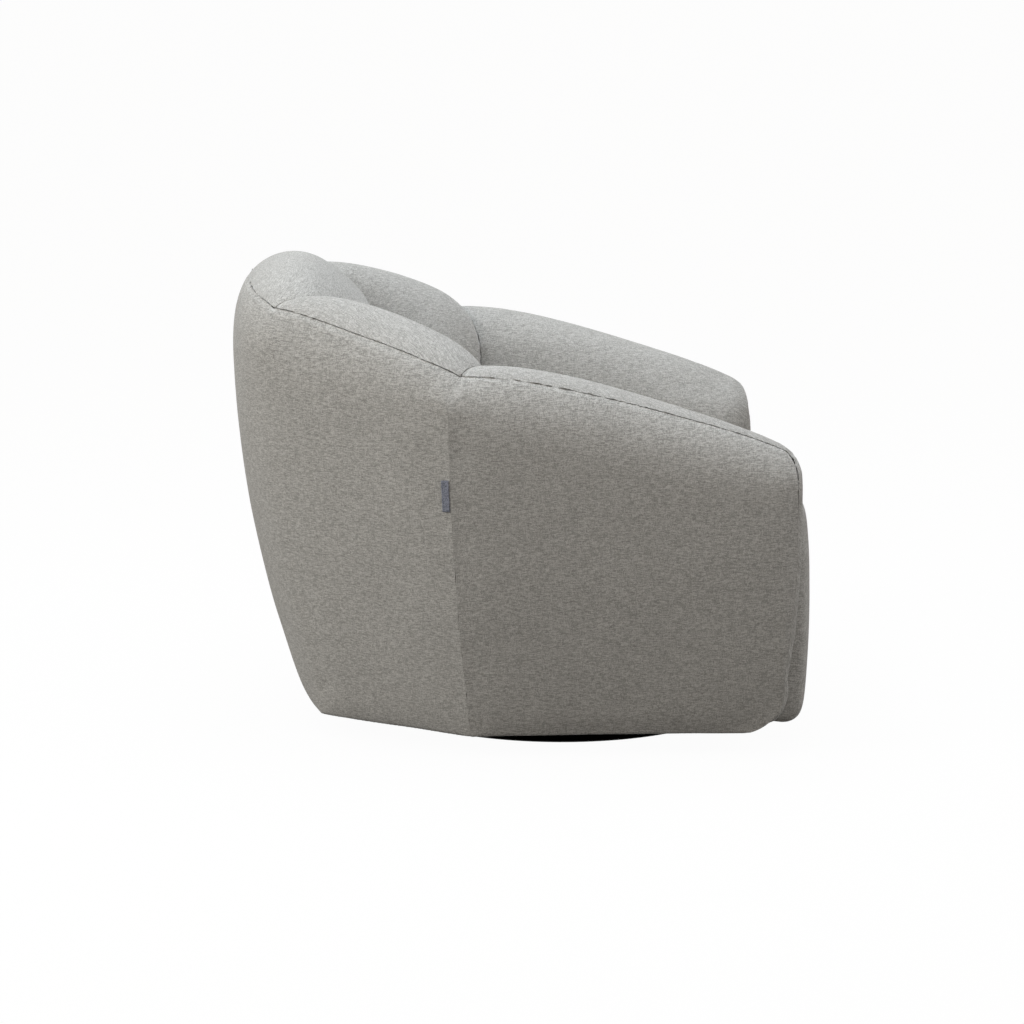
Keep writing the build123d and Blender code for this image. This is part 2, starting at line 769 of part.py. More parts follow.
with BuildPart() as back_block_right:
    with BuildSketch(Plane.XY.offset(board_z)):
        Rectangle(2 * FAR, 2 * FAR)
    extrude(amount=rail_z - board_z)
    split(bisect_by=block_back(back_seam.foot, back_block_out, BACK_BLOCK_DEEP), keep=Keep.TOP)
    split(bisect_by=wing_inside, keep=Keep.BOTTOM)
    split(bisect_by=back_inside, keep=Keep.BOTTOM)
    with Locations((back_block_at.X, back_block_at.Y, board_z)):
        Cylinder(BOARD_SCREW_D / 2 + SCREW_PLAY, 2 * BOARD_SCREW_L, mode=Mode.SUBTRACT)
pieces["back_block_right"] = back_block_right

# Arm: one full form, cut into the outer cover and the pad that rolls over the top and the front


def arm_crest_at(y):
    along = (y - FRONT_Y) / (wing_seam.foot.Y - FRONT_Y)
    return crest_height(front_seam, wing_seam, arm_lobe, along)


def arm_profile(shift):
    """Side view of the arm, with its rounded top front corner and its toe; local x is Y."""
    face = FRONT_Y + shift
    top = arm_crest_at(FRONT_Y + FRONT_TOP_R)
    toe_start = (face + TOE_RUN, body_z)
    toe_end = (face + TOE_TUCK, body_z + TOE_RISE)
    toe_mid = (face + TOE_MID_RUN, body_z + TOE_MID_RISE)
    top_centre = (face + FRONT_TOP_R, top - FRONT_TOP_R)
    front_mid = (face + FRONT_MID_TUCK, (body_z + TOE_RISE + FRONT_STRAIGHT_Z) / 2)
    with BuildSketch(Plane.YZ) as outline:
        with BuildLine():
            Line((FAR, body_z), toe_start)
            ThreePointArc(toe_start, toe_mid, toe_end)
            ThreePointArc(toe_end, front_mid, (face, FRONT_STRAIGHT_Z))
            Line((face, FRONT_STRAIGHT_Z), (face, top - FRONT_TOP_R))
            CenterArc(top_centre, FRONT_TOP_R, 90, 90)
            Polyline((face + FRONT_TOP_R, top), (face + FRONT_TOP_R, FAR), (FAR, FAR), (FAR, body_z))
        make_face()
    return outline.sketch


arm_sections = [lobe_section(front_seam, wing_seam, arm_lobe, station) for station in ARM_STATIONS]
arm_front_section = lobe_section(front_seam, wing_seam, arm_lobe, 0, FRONT_TUCK)
with BuildPart() as arm_form:
    loft(arm_sections)
    loft([arm_front_section, arm_sections[0]], ruled=True)
    extrude(arm_profile(0), amount=-FAR, mode=Mode.INTERSECT)

with BuildPart() as arm_cover_zone:
    loft([zone_section(front_seam, wing_seam, arm_lobe, station) for station in LOBE_STATIONS], ruled=True)
    extrude(arm_profile(FRONT_WRAP), amount=-FAR, mode=Mode.INTERSECT)

with BuildPart() as arm_cover_right:
    add(arm_form.part)
    add(arm_cover_zone.part, mode=Mode.INTERSECT)
pieces["arm_cover_right"] = arm_cover_right

with BuildPart() as arm_pocket:
    extrude(board_outline(arm_plane, front_seam, wing_seam, POCKET_PLAY, FAR), amount=-BOARD_T)
    split(bisect_by=front_block_plane, keep=Keep.TOP)

with BuildPart() as arm_pad_right:
    add(arm_form.part)
    add(arm_cover_zone.part, mode=Mode.SUBTRACT)
    add(arm_pocket.part, mode=Mode.SUBTRACT)
    with BuildSketch(Plane.XY):
        with Locations((0, front_block_y)):
            Rectangle(2 * FAR, FAR, align=(Align.CENTER, Align.MIN))
    extrude(amount=deck_z, mode=Mode.SUBTRACT)
pieces["arm_pad_right"] = arm_pad_right

# Wings and back: the same cut without a front
wing_sections = [lobe_section(wing_seam, back_seam, wing_lobe, station) for station in LOBE_STATIONS]
back_sections = [lobe_section(back_seam, back_seam_left, back_lobe, station) for station in LOBE_STATIONS]
wing_pocket = board_outline(wing_plane, wing_seam, back_seam, POCKET_PLAY, FAR)
back_pocket = board_outline(back_plane, back_seam, back_seam_left, POCKET_PLAY, FAR)
with BuildPart() as wing_cover_zone:
    loft([zone_section(wing_seam, back_seam, wing_lobe, station) for station in LOBE_STATIONS], ruled=True)

with BuildPart() as back_cover_zone:
    back_zones = [zone_section(back_seam, back_seam_left, back_lobe, station) for station in LOBE_STATIONS]
    loft(back_zones, ruled=True)

with BuildPart() as wing_cover_right:
    loft(wing_sections)
    add(wing_cover_zone.part, mode=Mode.INTERSECT)
pieces["wing_cover_right"] = wing_cover_right

with BuildPart() as wing_pad_right:
    loft(wing_sections)
    add(wing_cover_zone.part, mode=Mode.SUBTRACT)
    extrude(wing_pocket, amount=-BOARD_T, mode=Mode.SUBTRACT)
    split(bisect_by=Plane.XY.offset(deck_z), keep=Keep.TOP)
pieces["wing_pad_right"] = wing_pad_right

with BuildPart() as back_cover:
    loft(back_sections)
    add(back_cover_zone.part, mode=Mode.INTERSECT)
pieces["back_cover"] = back_cover

with BuildPart() as back_pad:
    loft(back_sections)
    add(back_cover_zone.part, mode=Mode.SUBTRACT)
    extrude(back_pocket, amount=-BOARD_T, mode=Mode.SUBTRACT)
    split(bisect_by=Plane.XY.offset(deck_z), keep=Keep.TOP)
pieces["back_pad"] = back_pad

# Seat springs between the front and back rails, in clips
spring_start = rail_middle_y
spring_end = back_rail_y + RAIL_T / 2
bar_step = (spring_end - spring_start) / SPRING_BARS
spring_points = [(-CLIP_L / 2, spring_start)]
for bar in range(SPRING_BARS + 1):
    side = SPRING_REACH if bar % 2 == 0 else -SPRING_REACH
    if bar > 0:
        spring_points.append((-side, spring_start + bar * bar_step))
    if bar < SPRING_BARS:
        spring_points.append((side, spring_start + bar * bar_step))
spring_points.append((CLIP_L / 2, spring_end))
with BuildPart() as one_spring:
    with BuildLine(Plane.XY.offset(spring_z)) as spring_path:
        FilletPolyline(*spring_points, radius=SPRING_BEND_R)
    with BuildSketch(Plane(origin=spring_path.line @ 0, z_dir=spring_path.line % 0)):
        Circle(SPRING_WIRE_D / 2)
    sweep()

with BuildPart() as seat_springs:
    with Locations(*[(x, 0) for x in spring_rows]):
        add(one_spring.part)
pieces["seat_springs"] = seat_springs

clip_h = clip_top - RAIL_TOP
with BuildPart() as one_clip:
    with BuildSketch(Plane.YZ):
        Rectangle(CLIP_W, clip_h, align=(Align.CENTER, Align.MIN))
        with Locations((CLIP_T, CLIP_T)):
            Rectangle(CLIP_W, clip_h - 2 * CLIP_T, align=(Align.CENTER, Align.MIN), mode=Mode.SUBTRACT)
    extrude(amount=CLIP_L / 2, both=True)

with BuildPart() as spring_clips:
    with Locations(*[(x, spring_start, RAIL_TOP) for x in spring_rows]):
        add(one_clip.part)
    with Locations(*[Location((x, spring_end, RAIL_TOP), (0, 0, 180)) for x in spring_rows]):
        add(one_clip.part)
pieces["spring_clips"] = spring_clips

# Deck, cushion and foam core of the seat
with BuildPart() as seat_deck:
    with BuildSketch(Plane.XY.offset(deck_z)):
        with Locations((0, front_block_y)):
            Rectangle(2 * seat_half, seat_rear - front_block_y, align=(Align.CENTER, Align.MIN))
    extrude(amount=DECK_T)
    split(bisect_by=seat_corner_plane, keep=Keep.BOTTOM)
    split(bisect_by=mirrored(seat_corner_plane), keep=Keep.BOTTOM)
pieces["seat_deck"] = seat_deck


def seat_section(x, fullness):
    """Side view of the seat at one place across it: crowned top, waterfall front and toe; local x is Y."""
    front = -SEAT_FRONT - SEAT_FRONT_BOW * fullness
    crown = SEAT_TOP + SEAT_EDGE_CROWN + SEAT_CROWN * fullness
    top_y = front + SEAT_FRONT_R
    front_z = SEAT_TOP - SEAT_FRONT_R
    low_z = body_z - SEAT_TOE_DROP
    toe_z = low_z + SEAT_TOE_R
    half_turn = SEAT_FRONT_R * (1 - sqrt(0.5))
    toe_turn = SEAT_TOE_R * (1 - sqrt(0.5))
    front_top = (top_y, SEAT_TOP + SEAT_CROWN * fullness / 2)
    belly = (front - SEAT_FRONT_BELLY, (front_z + toe_z) / 2)
    with BuildSketch(Plane.YZ.offset(x)) as outline:
        with BuildLine():
            Line((seat_rear, seat_z), (seat_rear, SEAT_TOP))
            ThreePointArc((seat_rear, SEAT_TOP), ((seat_rear + top_y) / 2, crown), front_top)
            ThreePointArc(front_top, (front + half_turn, SEAT_TOP - half_turn), (front, front_z))
            ThreePointArc((front, front_z), belly, (front, toe_z))
            ThreePointArc((front, toe_z), (front + toe_turn, low_z + toe_turn), (front + SEAT_TOE_R, low_z))
            Line((front + SEAT_TOE_R, low_z), (front_block_y, body_z))
            Line((front_block_y, body_z), (front_block_y, seat_z))
            Line((front_block_y, seat_z), (seat_rear, seat_z))
        make_face()
    return outline.sketch


seat_sections = []
for share in SEAT_STATIONS:
    seat_sections.append(seat_section(share * seat_half, 1 - share**2))
core_half = seat_half - CORE_SIDE
core_front = front_block_y + CORE_FRONT
core_rear = seat_rear - CORE_REAR
with BuildPart() as seat_cushion:
    loft(seat_sections)
    split(bisect_by=seat_corner_plane, keep=Keep.BOTTOM)
    split(bisect_by=mirrored(seat_corner_plane), keep=Keep.BOTTOM)
    with BuildSketch(Plane.XY.offset(seat_z)):
        with Locations((0, (core_front + core_rear) / 2)):
            Rectangle(2 * (core_half + CORE_PLAY), core_rear - core_front + 2 * CORE_PLAY)
    extrude(amount=CORE_T + CORE_PLAY, mode=Mode.SUBTRACT)
pieces["seat_cushion"] = seat_cushion

with BuildPart() as seat_foam_core:
    with BuildSketch(Plane.XY.offset(seat_z)):
        with Locations((0, (core_front + core_rear) / 2)):
            Rectangle(2 * core_half, core_rear - core_front)
    extrude(amount=CORE_T)
pieces["seat_foam_core"] = seat_foam_core

# Cloth tab in the right upright seam, flat on the wing's cover
tab_run = (back_seam.foot - wing_seam.foot).normalized()
wing_outside = wing_cover_right.faces().filter_by(GeomType.BSPLINE).sort_by(SortBy.AREA)[-1]
seam_ray = Axis(wing_seam.foot + wing_seam_out * FAR + Vector(0, 0, TAB_Z), -wing_seam_out)
tab_ray = Axis(seam_ray.position + tab_run * TAB_SET, -wing_seam_out)
tab_point, tab_normal = wing_outside.find_intersection_points(tab_ray)[0]
if tab_normal.dot(wing_seam_out) < 0:
    tab_normal = -tab_normal
with BuildPart() as seam_tab:
    with BuildSketch(Plane(origin=tab_point + tab_normal * TAB_GAP, x_dir=(0, 0, 1), z_dir=tab_normal)):
        Rectangle(TAB_L, TAB_W)
    extrude(amount=TAB_T)
pieces["seam_tab"] = seam_tab

# The sitter's left side mirrors the right
for right_name in [name for name in pieces if name.endswith("_right")]:
    with BuildPart() as left_piece:
        mirror(pieces[right_name].part, about=Plane.YZ)
    pieces[right_name.replace("_right", "_left")] = left_piece

for name, piece in pieces.items():
    piece.part.label = name
    export_step(piece.part, f"parts/{name}.step")
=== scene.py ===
from math import radians

import bmesh
import bpy
import numpy as np
from bpy.props import FloatProperty, FloatVectorProperty, IntProperty, PointerProperty
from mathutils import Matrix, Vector, noise
from mathutils.bvhtree import BVHTree
from mathutils.kdtree import KDTree


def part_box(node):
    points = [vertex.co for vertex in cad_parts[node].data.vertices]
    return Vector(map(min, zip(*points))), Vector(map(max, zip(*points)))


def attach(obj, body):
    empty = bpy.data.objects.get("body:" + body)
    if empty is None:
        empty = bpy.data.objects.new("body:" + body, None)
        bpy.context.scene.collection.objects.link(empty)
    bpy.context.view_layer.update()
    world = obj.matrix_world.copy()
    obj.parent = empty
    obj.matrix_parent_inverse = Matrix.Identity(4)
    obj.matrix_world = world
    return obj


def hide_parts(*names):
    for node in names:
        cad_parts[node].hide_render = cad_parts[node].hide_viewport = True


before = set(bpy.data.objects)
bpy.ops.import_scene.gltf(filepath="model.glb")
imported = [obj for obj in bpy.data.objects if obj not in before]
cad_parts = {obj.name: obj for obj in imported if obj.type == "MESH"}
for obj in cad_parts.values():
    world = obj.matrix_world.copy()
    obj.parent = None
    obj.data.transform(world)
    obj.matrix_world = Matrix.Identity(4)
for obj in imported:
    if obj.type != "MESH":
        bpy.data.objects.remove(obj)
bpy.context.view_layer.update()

bl_info = {
    "name": "Swivel Tub Chair",
    "version": (1, 0, 0),
    "blender": (4, 5, 0),
    "location": "3D View > Sidebar > Tub Chair",
    "description": "Upholsters a swivel tub chair and sets it on a plain pale floor",
    "category": "Object",
}

# Lengths are in metres, shares have no unit, and a pair holds the first and last limit of a ramp.
# Cutting and filling
WELD = 0.00002
CUT_PASSES = 3
HELD_FACES = 0.75
CARRIERS = 4
CARRY_BLUR = 0.001

# Easing, which leaves a rim along the seams as it is
RIM = 0.012
RIM_FADE = 0.03
COVER_PASSES = 160
SEAT_PASSES = 60
PAD_PASSES = 90

# Plumping: how much a face looks inwards, its depth below the crest, its distance from an upright seam
INWARD_LOOK = (0.25, 0.75)
FULL_BELOW_CREST = (0, 0.09)
FLAT_NEAR_SEAT = (0.2, 0.28)
FULL_FROM_SIDE = (0, 0.11)

# Sewing and puckers
SHARP_ANGLE = 0.4
SEWN_GAP = 0.0006
SEWN_STEP = 0.0008
SNAP_SHARE = 0.8
LEAST_SHARE = 0.02
DRAWN_HEIGHT = (0.34, 0.42)
PAD_PUCKER = 0.001
COVER_PUCKER = 0.0003
TOP_PUCKER_SHARE = 0.3
TOP_PUCKER_REACH = 0.014
SIDE_PUCKER_SHARE = 1.5
SIDE_PUCKER_REACH = 0.02
SHORT_RIPPLE = 0.016
LONG_RIPPLE = 0.034
LONG_RIPPLE_SHARE = 0.6

# Unevenness of the filling, as height and length
WIDE_BILLOW = (0.0009, 0.11)
SMALL_BILLOW = (0.0003, 0.045)
TOUCH_FADE = 0.006
SMOOTH_ANGLE = radians(50)
END_FACING = 0.72

# Seat: heights over which its crown settles, and distance forward over which it presses on the arms
SETTLING_HEIGHT = (0.33, 0.41)
PRESS_FORWARD = (0.16, 0.3)

# Weave: drift of the yarns, spacing of their slubs, and what pale and dim dashes and specks add to a fleck.
# A pair of dashes holds the limits for the weft and for the warp.
DRIFT_SCALE = 60
YARN_DRIFT = 0.0014
WARP_SPACING = 3.71
WEFT_SPACING = 5.13
PALE_DASHES = ((0.53, 0.64), (0.57, 0.69))
DIM_DASHES = ((0.46, 0.34), (0.43, 0.31))
WARP_SHARE = 0.7
STREAK_SHARE = 0.3
SPECK_SHARE = 0.64
FLECK_OFFSET = 0.18
WEFT_RISE = 0.25
COVER_CONTRAST = 0.34
TAB_CONTRAST = 0.3

# Tones of the cloth, as share and offset: painted shade between the yarns, a random cloudy tone, and the
# roughness of the flecks
YARN_SHADE = (0.3, 0.82)
CLOUD_TONE = (0.08, 0.96)
FLECK_ROUGHNESS = (0.12, 0.82)

# Toe of an arm pad
TOE_TUCK = 0.002
TOE_HEIGHT = 0.020
TOE_FADE = 0.008


class ClothSettings(bpy.types.PropertyGroup):
    """Yarn colours and sizes of the heathered cover cloth."""

    pale_yarn: FloatVectorProperty(
        name="Pale yarn", description="Colour of the bright flecks", subtype="COLOR", size=3, min=0, max=1,
        default=(0.635, 0.628, 0.611),
    )
    ground_yarn: FloatVectorProperty(
        name="Ground yarn", description="Colour that most of the cloth shows", subtype="COLOR", size=3, min=0,
        max=1, default=(0.470, 0.464, 0.450),
    )
    dark_yarn: FloatVectorProperty(
        name="Dark yarn", description="Colour of the darkest yarns and of the gaps", subtype="COLOR", size=3,
        min=0, max=1, default=(0.318, 0.312, 0.300),
    )
    tab_yarn: FloatVectorProperty(
        name="Tab yarn", description="Colour of the cloth tab in the upright seam", subtype="COLOR", size=3,
        min=0, max=1, default=(0.26, 0.28, 0.35),
    )
    yarn_pitch: FloatProperty(
        name="Yarn pitch", description="Distance from one yarn to the next", subtype="DISTANCE",
        unit="LENGTH", default=0.0009, min=0.0004, max=0.01,
    )
    slub_length: FloatProperty(
        name="Slub length", description="Length of a thick or pale stretch of yarn", subtype="DISTANCE",
        unit="LENGTH", default=0.0095, min=0.001, max=0.1,
    )


class StuffingSettings(bpy.types.PropertyGroup):
    """How the padded pieces are filled and sewn."""

    voxel: FloatProperty(
        name="Mesh size", description="Size of one face of a padded piece", subtype="DISTANCE", unit="LENGTH",
        default=0.004, min=0.003, max=0.02,
    )
    filling_voxel: FloatProperty(
        name="Filling mesh size", description="Size of one face while a piece is filled", subtype="DISTANCE",
        unit="LENGTH", default=0.0085, min=0.004, max=0.02,
    )
    pressure: FloatProperty(
        name="Pressure", description="How hard the filling pushes out", default=4.0, min=0, max=40,
    )
    settle_frames: IntProperty(
        name="Settling frames", description="Frames for which the cloth settles", default=20, min=2, max=60,
    )
    arm_swell: FloatProperty(
        name="Arm swell", description="Most that an arm pad may swell past its cut", subtype="DISTANCE",
        unit="LENGTH", default=0.007, min=0, max=0.03,
    )
    back_swell: FloatProperty(
        name="Back swell", description="Most that a wing pad or the back pad may swell past its cut",
        subtype="DISTANCE", unit="LENGTH", default=0.016, min=0, max=0.03,
    )
    seat_swell: FloatProperty(
        name="Seat swell", description="Most that the seat may swell past its cut", subtype="DISTANCE",
        unit="LENGTH", default=0.006, min=0, max=0.03,
    )
    seat_settling: FloatProperty(
        name="Seat settling", description="How far the crown of the seat has settled", subtype="DISTANCE",
        unit="LENGTH", default=0.014, min=0, max=0.03,
    )
    seat_press: FloatProperty(
        name="Seat press", description="Share by which the seat's front widens to press against the arms",
        default=0.045, min=0, max=0.1,
    )
    top_share: FloatProperty(
        name="Top share", description="Share of the swelling that the tight cloth on top lets through",
        default=0.3, min=0, max=1,
    )
    cover_swell: FloatProperty(
        name="Cover swell", description="Most that an outer cover may swell past its cut", subtype="DISTANCE",
        unit="LENGTH", default=0.003, min=0, max=0.03,
    )
    seam_depth: FloatProperty(
        name="Seam depth", description="How deep the cloth is drawn in along a seam", subtype="DISTANCE",
        unit="LENGTH", default=0.0011, min=0, max=0.02,
    )
    seam_width: FloatProperty(
        name="Seam width", description="How far from a seam the cloth is drawn in", subtype="DISTANCE",
        unit="LENGTH", default=0.004, min=0.001, max=0.05,
    )


class StageSettings(bpy.types.PropertyGroup):
    """Camera and light of the studio."""

    camera_place: FloatVectorProperty(
        name="Camera", description="Where the camera stands", subtype="XYZ", unit="LENGTH", size=3,
        default=(-5.40691, 0.33, 1.30),
    )
    camera_target: FloatVectorProperty(
        name="Target", description="What the camera looks at", subtype="XYZ", unit="LENGTH", size=3,
        default=(0.0, 0.07378, 0.29792),
    )
    camera_lens: FloatProperty(
        name="Lens", description="Focal length for a sensor 36 mm wide", unit="CAMERA", default=126.26,
        min=10, max=400,
    )
    top_light: FloatProperty(
        name="Top light", description="Power of the large lamp overhead", subtype="POWER", default=46.0,
        min=0, max=2000,
    )
    rear_light: FloatProperty(
        name="Rear light", description="Power of the lamp behind the chair", subtype="POWER", default=55.5,
        min=0, max=2000,
    )
    front_light: FloatProperty(
        name="Front light", description="Power of the lamp in front of the chair", subtype="POWER",
        default=22.0, min=0, max=2000,
    )


def activate(*pieces):
    """Selects some objects alone and makes the first one active."""
    if bpy.context.object and bpy.context.object.mode != "OBJECT":
        bpy.ops.object.mode_set(mode="OBJECT")
    bpy.ops.object.select_all(action="DESELECT")
    for piece in pieces:
        piece.select_set(True)
    bpy.context.view_layer.objects.active = pieces[0]


def apply_modifier(piece, kind, **settings):
    """Adds one modifier to a piece, sets it and applies it."""
    activate(piece)
    bpy.ops.object.modifier_add(type=kind)
    modifier = piece.modifiers[-1]
    for setting, value in settings.items():
        setattr(modifier, setting, value)
    bpy.ops.object.modifier_apply(modifier=modifier.name)


def points_of(piece):
    """Vertex places of a mesh object as rows of x, y, z."""
    flat = np.empty(len(piece.data.vertices) * 3, np.float32)
    piece.data.vertices.foreach_get("co", flat)
    return flat.reshape(-1, 3).astype(float)


def normals_of(piece):
    """Vertex normals of a mesh object as rows of x, y, z."""
    flat = np.empty(len(piece.data.vertices) * 3, np.float32)
    piece.data.vertices.foreach_get("normal", flat)
    return flat.reshape(-1, 3).astype(float)


def set_points(piece, places):
    """Moves every vertex of a mesh object."""
    piece.data.vertices.foreach_set("co", places.astype(np.float32).ravel())
    piece.data.update()


def tree_of(names):
    """Search tree over the solids of some CAD nodes."""
    places, faces = [], []
    for name in names:
        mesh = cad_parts[name].data
        first = len(places)
        places += [v.co.copy() for v in mesh.vertices]
        faces += [[first + i for i in p.vertices] for p in mesh.polygons]
    return BVHTree.FromPolygons(places, faces)


def distance_to(places, names):
    """Distance from each place to the nearest of some CAD nodes."""
    tree = tree_of(names)
    return np.array([tree.find_nearest(p)[3] for p in places])


def cut_copy(nodes, name, voxel):
    """A new object with the joined shape of some CAD nodes, in even faces and with eased edges."""
    pieces = []
    for node in nodes:
        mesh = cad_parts[node].data.copy()
        mesh.materials.clear()
        piece = bpy.data.objects.new(name, mesh)
        bpy.context.scene.collection.objects.link(piece)
        activate(piece)
        bpy.ops.object.mode_set(mode="EDIT")
        bpy.ops.mesh.select_all(action="SELECT")
        bpy.ops.mesh.remove_doubles(threshold=WELD)
        bpy.ops.object.mode_set(mode="OBJECT")
        pieces.append(piece)
    activate(*pieces)
    if len(pieces) > 1:
        bpy.ops.object.join()
    piece = pieces[0]
    apply_modifier(piece, "REMESH", mode="VOXEL", voxel_size=voxel)
    apply_modifier(piece, "SMOOTH", factor=0.5, iterations=CUT_PASSES)
    bpy.ops.object.shade_smooth()
    return piece


def fill(lobe, swell, stuffing):
    """Fills a coarse copy of a piece like a cushion; returns its places and how far each one moves."""
    coarse = cut_copy(lobe.nodes, "filling", stuffing.filling_voxel)
    places = points_of(coarse)
    held = distance_to(places, lobe.neighbours) < HELD_FACES * stuffing.filling_voxel
    group = coarse.vertex_groups.new(name="held")
    group.add([int(i) for i in np.flatnonzero(held)], 1.0, "REPLACE")
    activate(coarse)
    bpy.ops.object.modifier_add(type="CLOTH")
    cloth = coarse.modifiers[-1]
    settings = cloth.settings
    settings.quality = 4
    settings.mass = 0.25
    settings.tension_stiffness = 12
    settings.compression_stiffness = 12
    settings.shear_stiffness = 6
    settings.bending_stiffness = 1.5
    settings.use_pressure = True
    settings.uniform_pressure_force = stuffing.pressure
    settings.vertex_group_mass = "held"
    settings.effector_weights.gravity = 0
    cloth.collision_settings.use_collision = False
    cloth.point_cache.frame_start = 1
    cloth.point_cache.frame_end = stuffing.settle_frames
    for step in range(1, stuffing.settle_frames + 1):
        bpy.context.scene.frame_set(step)
    bpy.ops.object.modifier_apply(modifier=cloth.name)
    bpy.context.scene.frame_set(1)
    move = points_of(coarse) - places
    bpy.data.objects.remove(coarse)
    far = np.linalg.norm(move, axis=1, keepdims=True)
    move *= np.minimum(1, swell / np.maximum(far, 1e-9))
    move[:, 2] *= stuffing.top_share
    return places, move


def carry(places, filled, move):
    """Moves places as the nearest places of the filled copy move."""
    tree = search(filled)
    moved = places.copy()
    for i, place in enumerate(places):
        share, total = np.zeros(3), 0.0
        for _, near, far in tree.find_n(place, CARRIERS):
            weight = 1 / (far + CARRY_BLUR)
            share += weight * move[near]
            total += weight
        moved[i] += share / total
    return moved


def ripple(along, seed):
    """Uneven waves between -1 and 1 along a seam."""
    return np.array([
        noise.noise((a / SHORT_RIPPLE, seed * 7.3, 0.5))
        + LONG_RIPPLE_SHARE * noise.noise((a / LONG_RIPPLE, seed * 3.1, 4.5))
        for a in along
    ])


def billow(places, length, seed):
    """Slow unevenness of padded cloth, between about -1 and 1."""
    return np.array([noise.noise((x / length + seed, y / length, z / length)) for x, y, z in places])


class Lobe:
    """One padded piece: its CAD nodes, its directions along and outwards, and its neighbours.

    Mates are sewn to it along its top seam, sides along its upright seams, and others only touch it.
    """

    passes = COVER_PASSES

    def __init__(self, nodes, run, out, mates, sides, others):
        self.nodes = nodes
        self.run = np.array(run)
        self.out = np.array(out)
        self.mates = mates
        self.sides = sides
        self.others = others

    @property
    def neighbours(self):
        return self.mates + self.sides + self.others

    def along(self, places):
        """Distance along the piece."""
        return places @ self.run

    def over(self, places):
        """Distance over the piece, which for an outer cover is straight up."""
        return places[:, 2]


class RolledLobe(Lobe):
    """A pad that rolls over its crest from the inside of the chair to the top seam."""

    passes = 0
    bin_width = 0.01

    def __init__(self, fullness, *shape, **neighbours):
        super().__init__(*shape, **neighbours)
        self.fullness = fullness

    def crest(self, places):
        """Where the crest lies outwards and how high it is, at each place's stand along the pad."""
        along, out, height = self.along(places), places @ self.out, places[:, 2]
        bins = ((along - along.min()) / self.bin_width).astype(int)
        rising = np.argsort(height, kind="stable")
        top = np.zeros(bins.max() + 1, int)
        top[bins[rising]] = rising
        return np.interp(along, along[top], out[top]), np.interp(along, along[top], height[top])

    def over(self, places):
        """Distance over the pad, up its inside and on past the crest."""
        out, height = places @ self.out, places[:, 2]
        crest_out, crest_height = self.crest(places)
        return out + np.where(out > crest_out, 2 * crest_height - height, height)


class WrappedLobe(Lobe):
    """A padded piece that goes round the back of the chair."""

    middle_y = 0.05
    reach = 0.42

    def along(self, places):
        return np.arctan2(places[:, 0], places[:, 1] - self.middle_y) * self.reach


class SeatLobe(Lobe):
    """The seat cushion, whose cloth runs over its top and down its front."""

    passes = SEAT_PASSES

    def over(self, places):
        """Distance over the top towards the front and on down."""
        return places @ self.out - places[:, 2]


wing_turn = radians(34)
wing_run = (np.sin(wing_turn), np.cos(wing_turn), 0)
wing_out = (-np.cos(wing_turn), np.sin(wing_turn), 0)
pad_lobes = {
    "arm_pad_cloth_right": RolledLobe(
        0, ["arm_pad_right"], (0, 1, 0), (-1, 0, 0),
        mates=["arm_cover_right"],
        sides=["wing_pad_right"],
        others=["arm_board_right", "seat_deck"],
    ),
    "wing_pad_cloth_right": RolledLobe(
        0.016, ["wing_pad_right"], wing_run, wing_out,
        mates=["wing_cover_right"],
        sides=["arm_pad_right", "back_pad"],
        others=["wing_board_right", "arm_cover_right", "back_cover"],
    ),
    "back_pad_cloth": RolledLobe(
        0.026, ["back_pad"], (1, 0, 0), (0, 1, 0),
        mates=["back_cover"],
        sides=["wing_pad_right", "wing_pad_left"],
        others=["back_board", "wing_cover_right", "wing_cover_left"],
    ),
}
cover_lobes = {
    "arm_cover_cloth_right": Lobe(
        ["arm_cover_right"], (0, 1, 0), (-1, 0, 0),
        mates=["arm_pad_right"],
        sides=["wing_cover_right"],
        others=["arm_board_right", "bottom_board", "wing_pad_right"],
    ),
    "rear_cover_cloth": WrappedLobe(
        ["wing_cover_right", "back_cover", "wing_cover_left"], (0, 0, 0), (0, 1, 0),
        mates=["wing_pad_right", "back_pad", "wing_pad_left"],
        sides=["arm_cover_right", "arm_cover_left"],
        others=["wing_board_right", "back_board", "wing_board_left", "bottom_board", "arm_pad_right",
                "arm_pad_left"],
    ),
}
seat_lobe = SeatLobe(
    ["seat_cushion"], (1, 0, 0), (0, -1, 0), mates=[], sides=[], others=["seat_deck", "seat_foam_core"],
)


def lay_weave(piece, lobe):
    """UV map in metres: along the run, and over the surface; ends square to the run are laid flat."""
    mesh = piece.data
    corners = np.empty(len(mesh.loops), np.int64)
    mesh.loops.foreach_get("vertex_index", corners)
    totals = np.empty(len(mesh.polygons), np.int64)
    mesh.polygons.foreach_get("loop_total", totals)
    facing = np.empty(len(mesh.polygons) * 3, np.float32)
    mesh.polygons.foreach_get("normal", facing)
    end = np.repeat(np.abs(facing.reshape(-1, 3) @ lobe.run) > END_FACING, totals)
    at = points_of(piece)[corners]
    u = np.where(end, at @ lobe.out, lobe.along(at))
    v = np.where(end, at[:, 2], lobe.over(at))
    weave = mesh.uv_layers.new(name="weave")
    weave.data.foreach_set("uv", np.stack([u, v], axis=1).astype(np.float32).ravel())


def ramp(values, first, last):
    """Smooth rise from 0 to 1 between two limits."""
    share = np.clip((values - first) / (last - first), 0, 1)
    return share * share * (3 - 2 * share)


def ease(piece, lobe, iterations, share=1.0):
    """Rounds the corners of a piece, less and less towards its seams and its foot."""
    free = share * np.clip((distance_to(points_of(piece), lobe.neighbours) - RIM) / RIM_FADE, 0, 1)
    group = piece.vertex_groups.new(name="free")
    for i in np.flatnonzero(free > 0):
        group.add([int(i)], float(free[i]), "REPLACE")
    apply_modifier(piece, "SMOOTH", factor=0.5, iterations=iterations, vertex_group="free")
    piece.vertex_groups.clear()


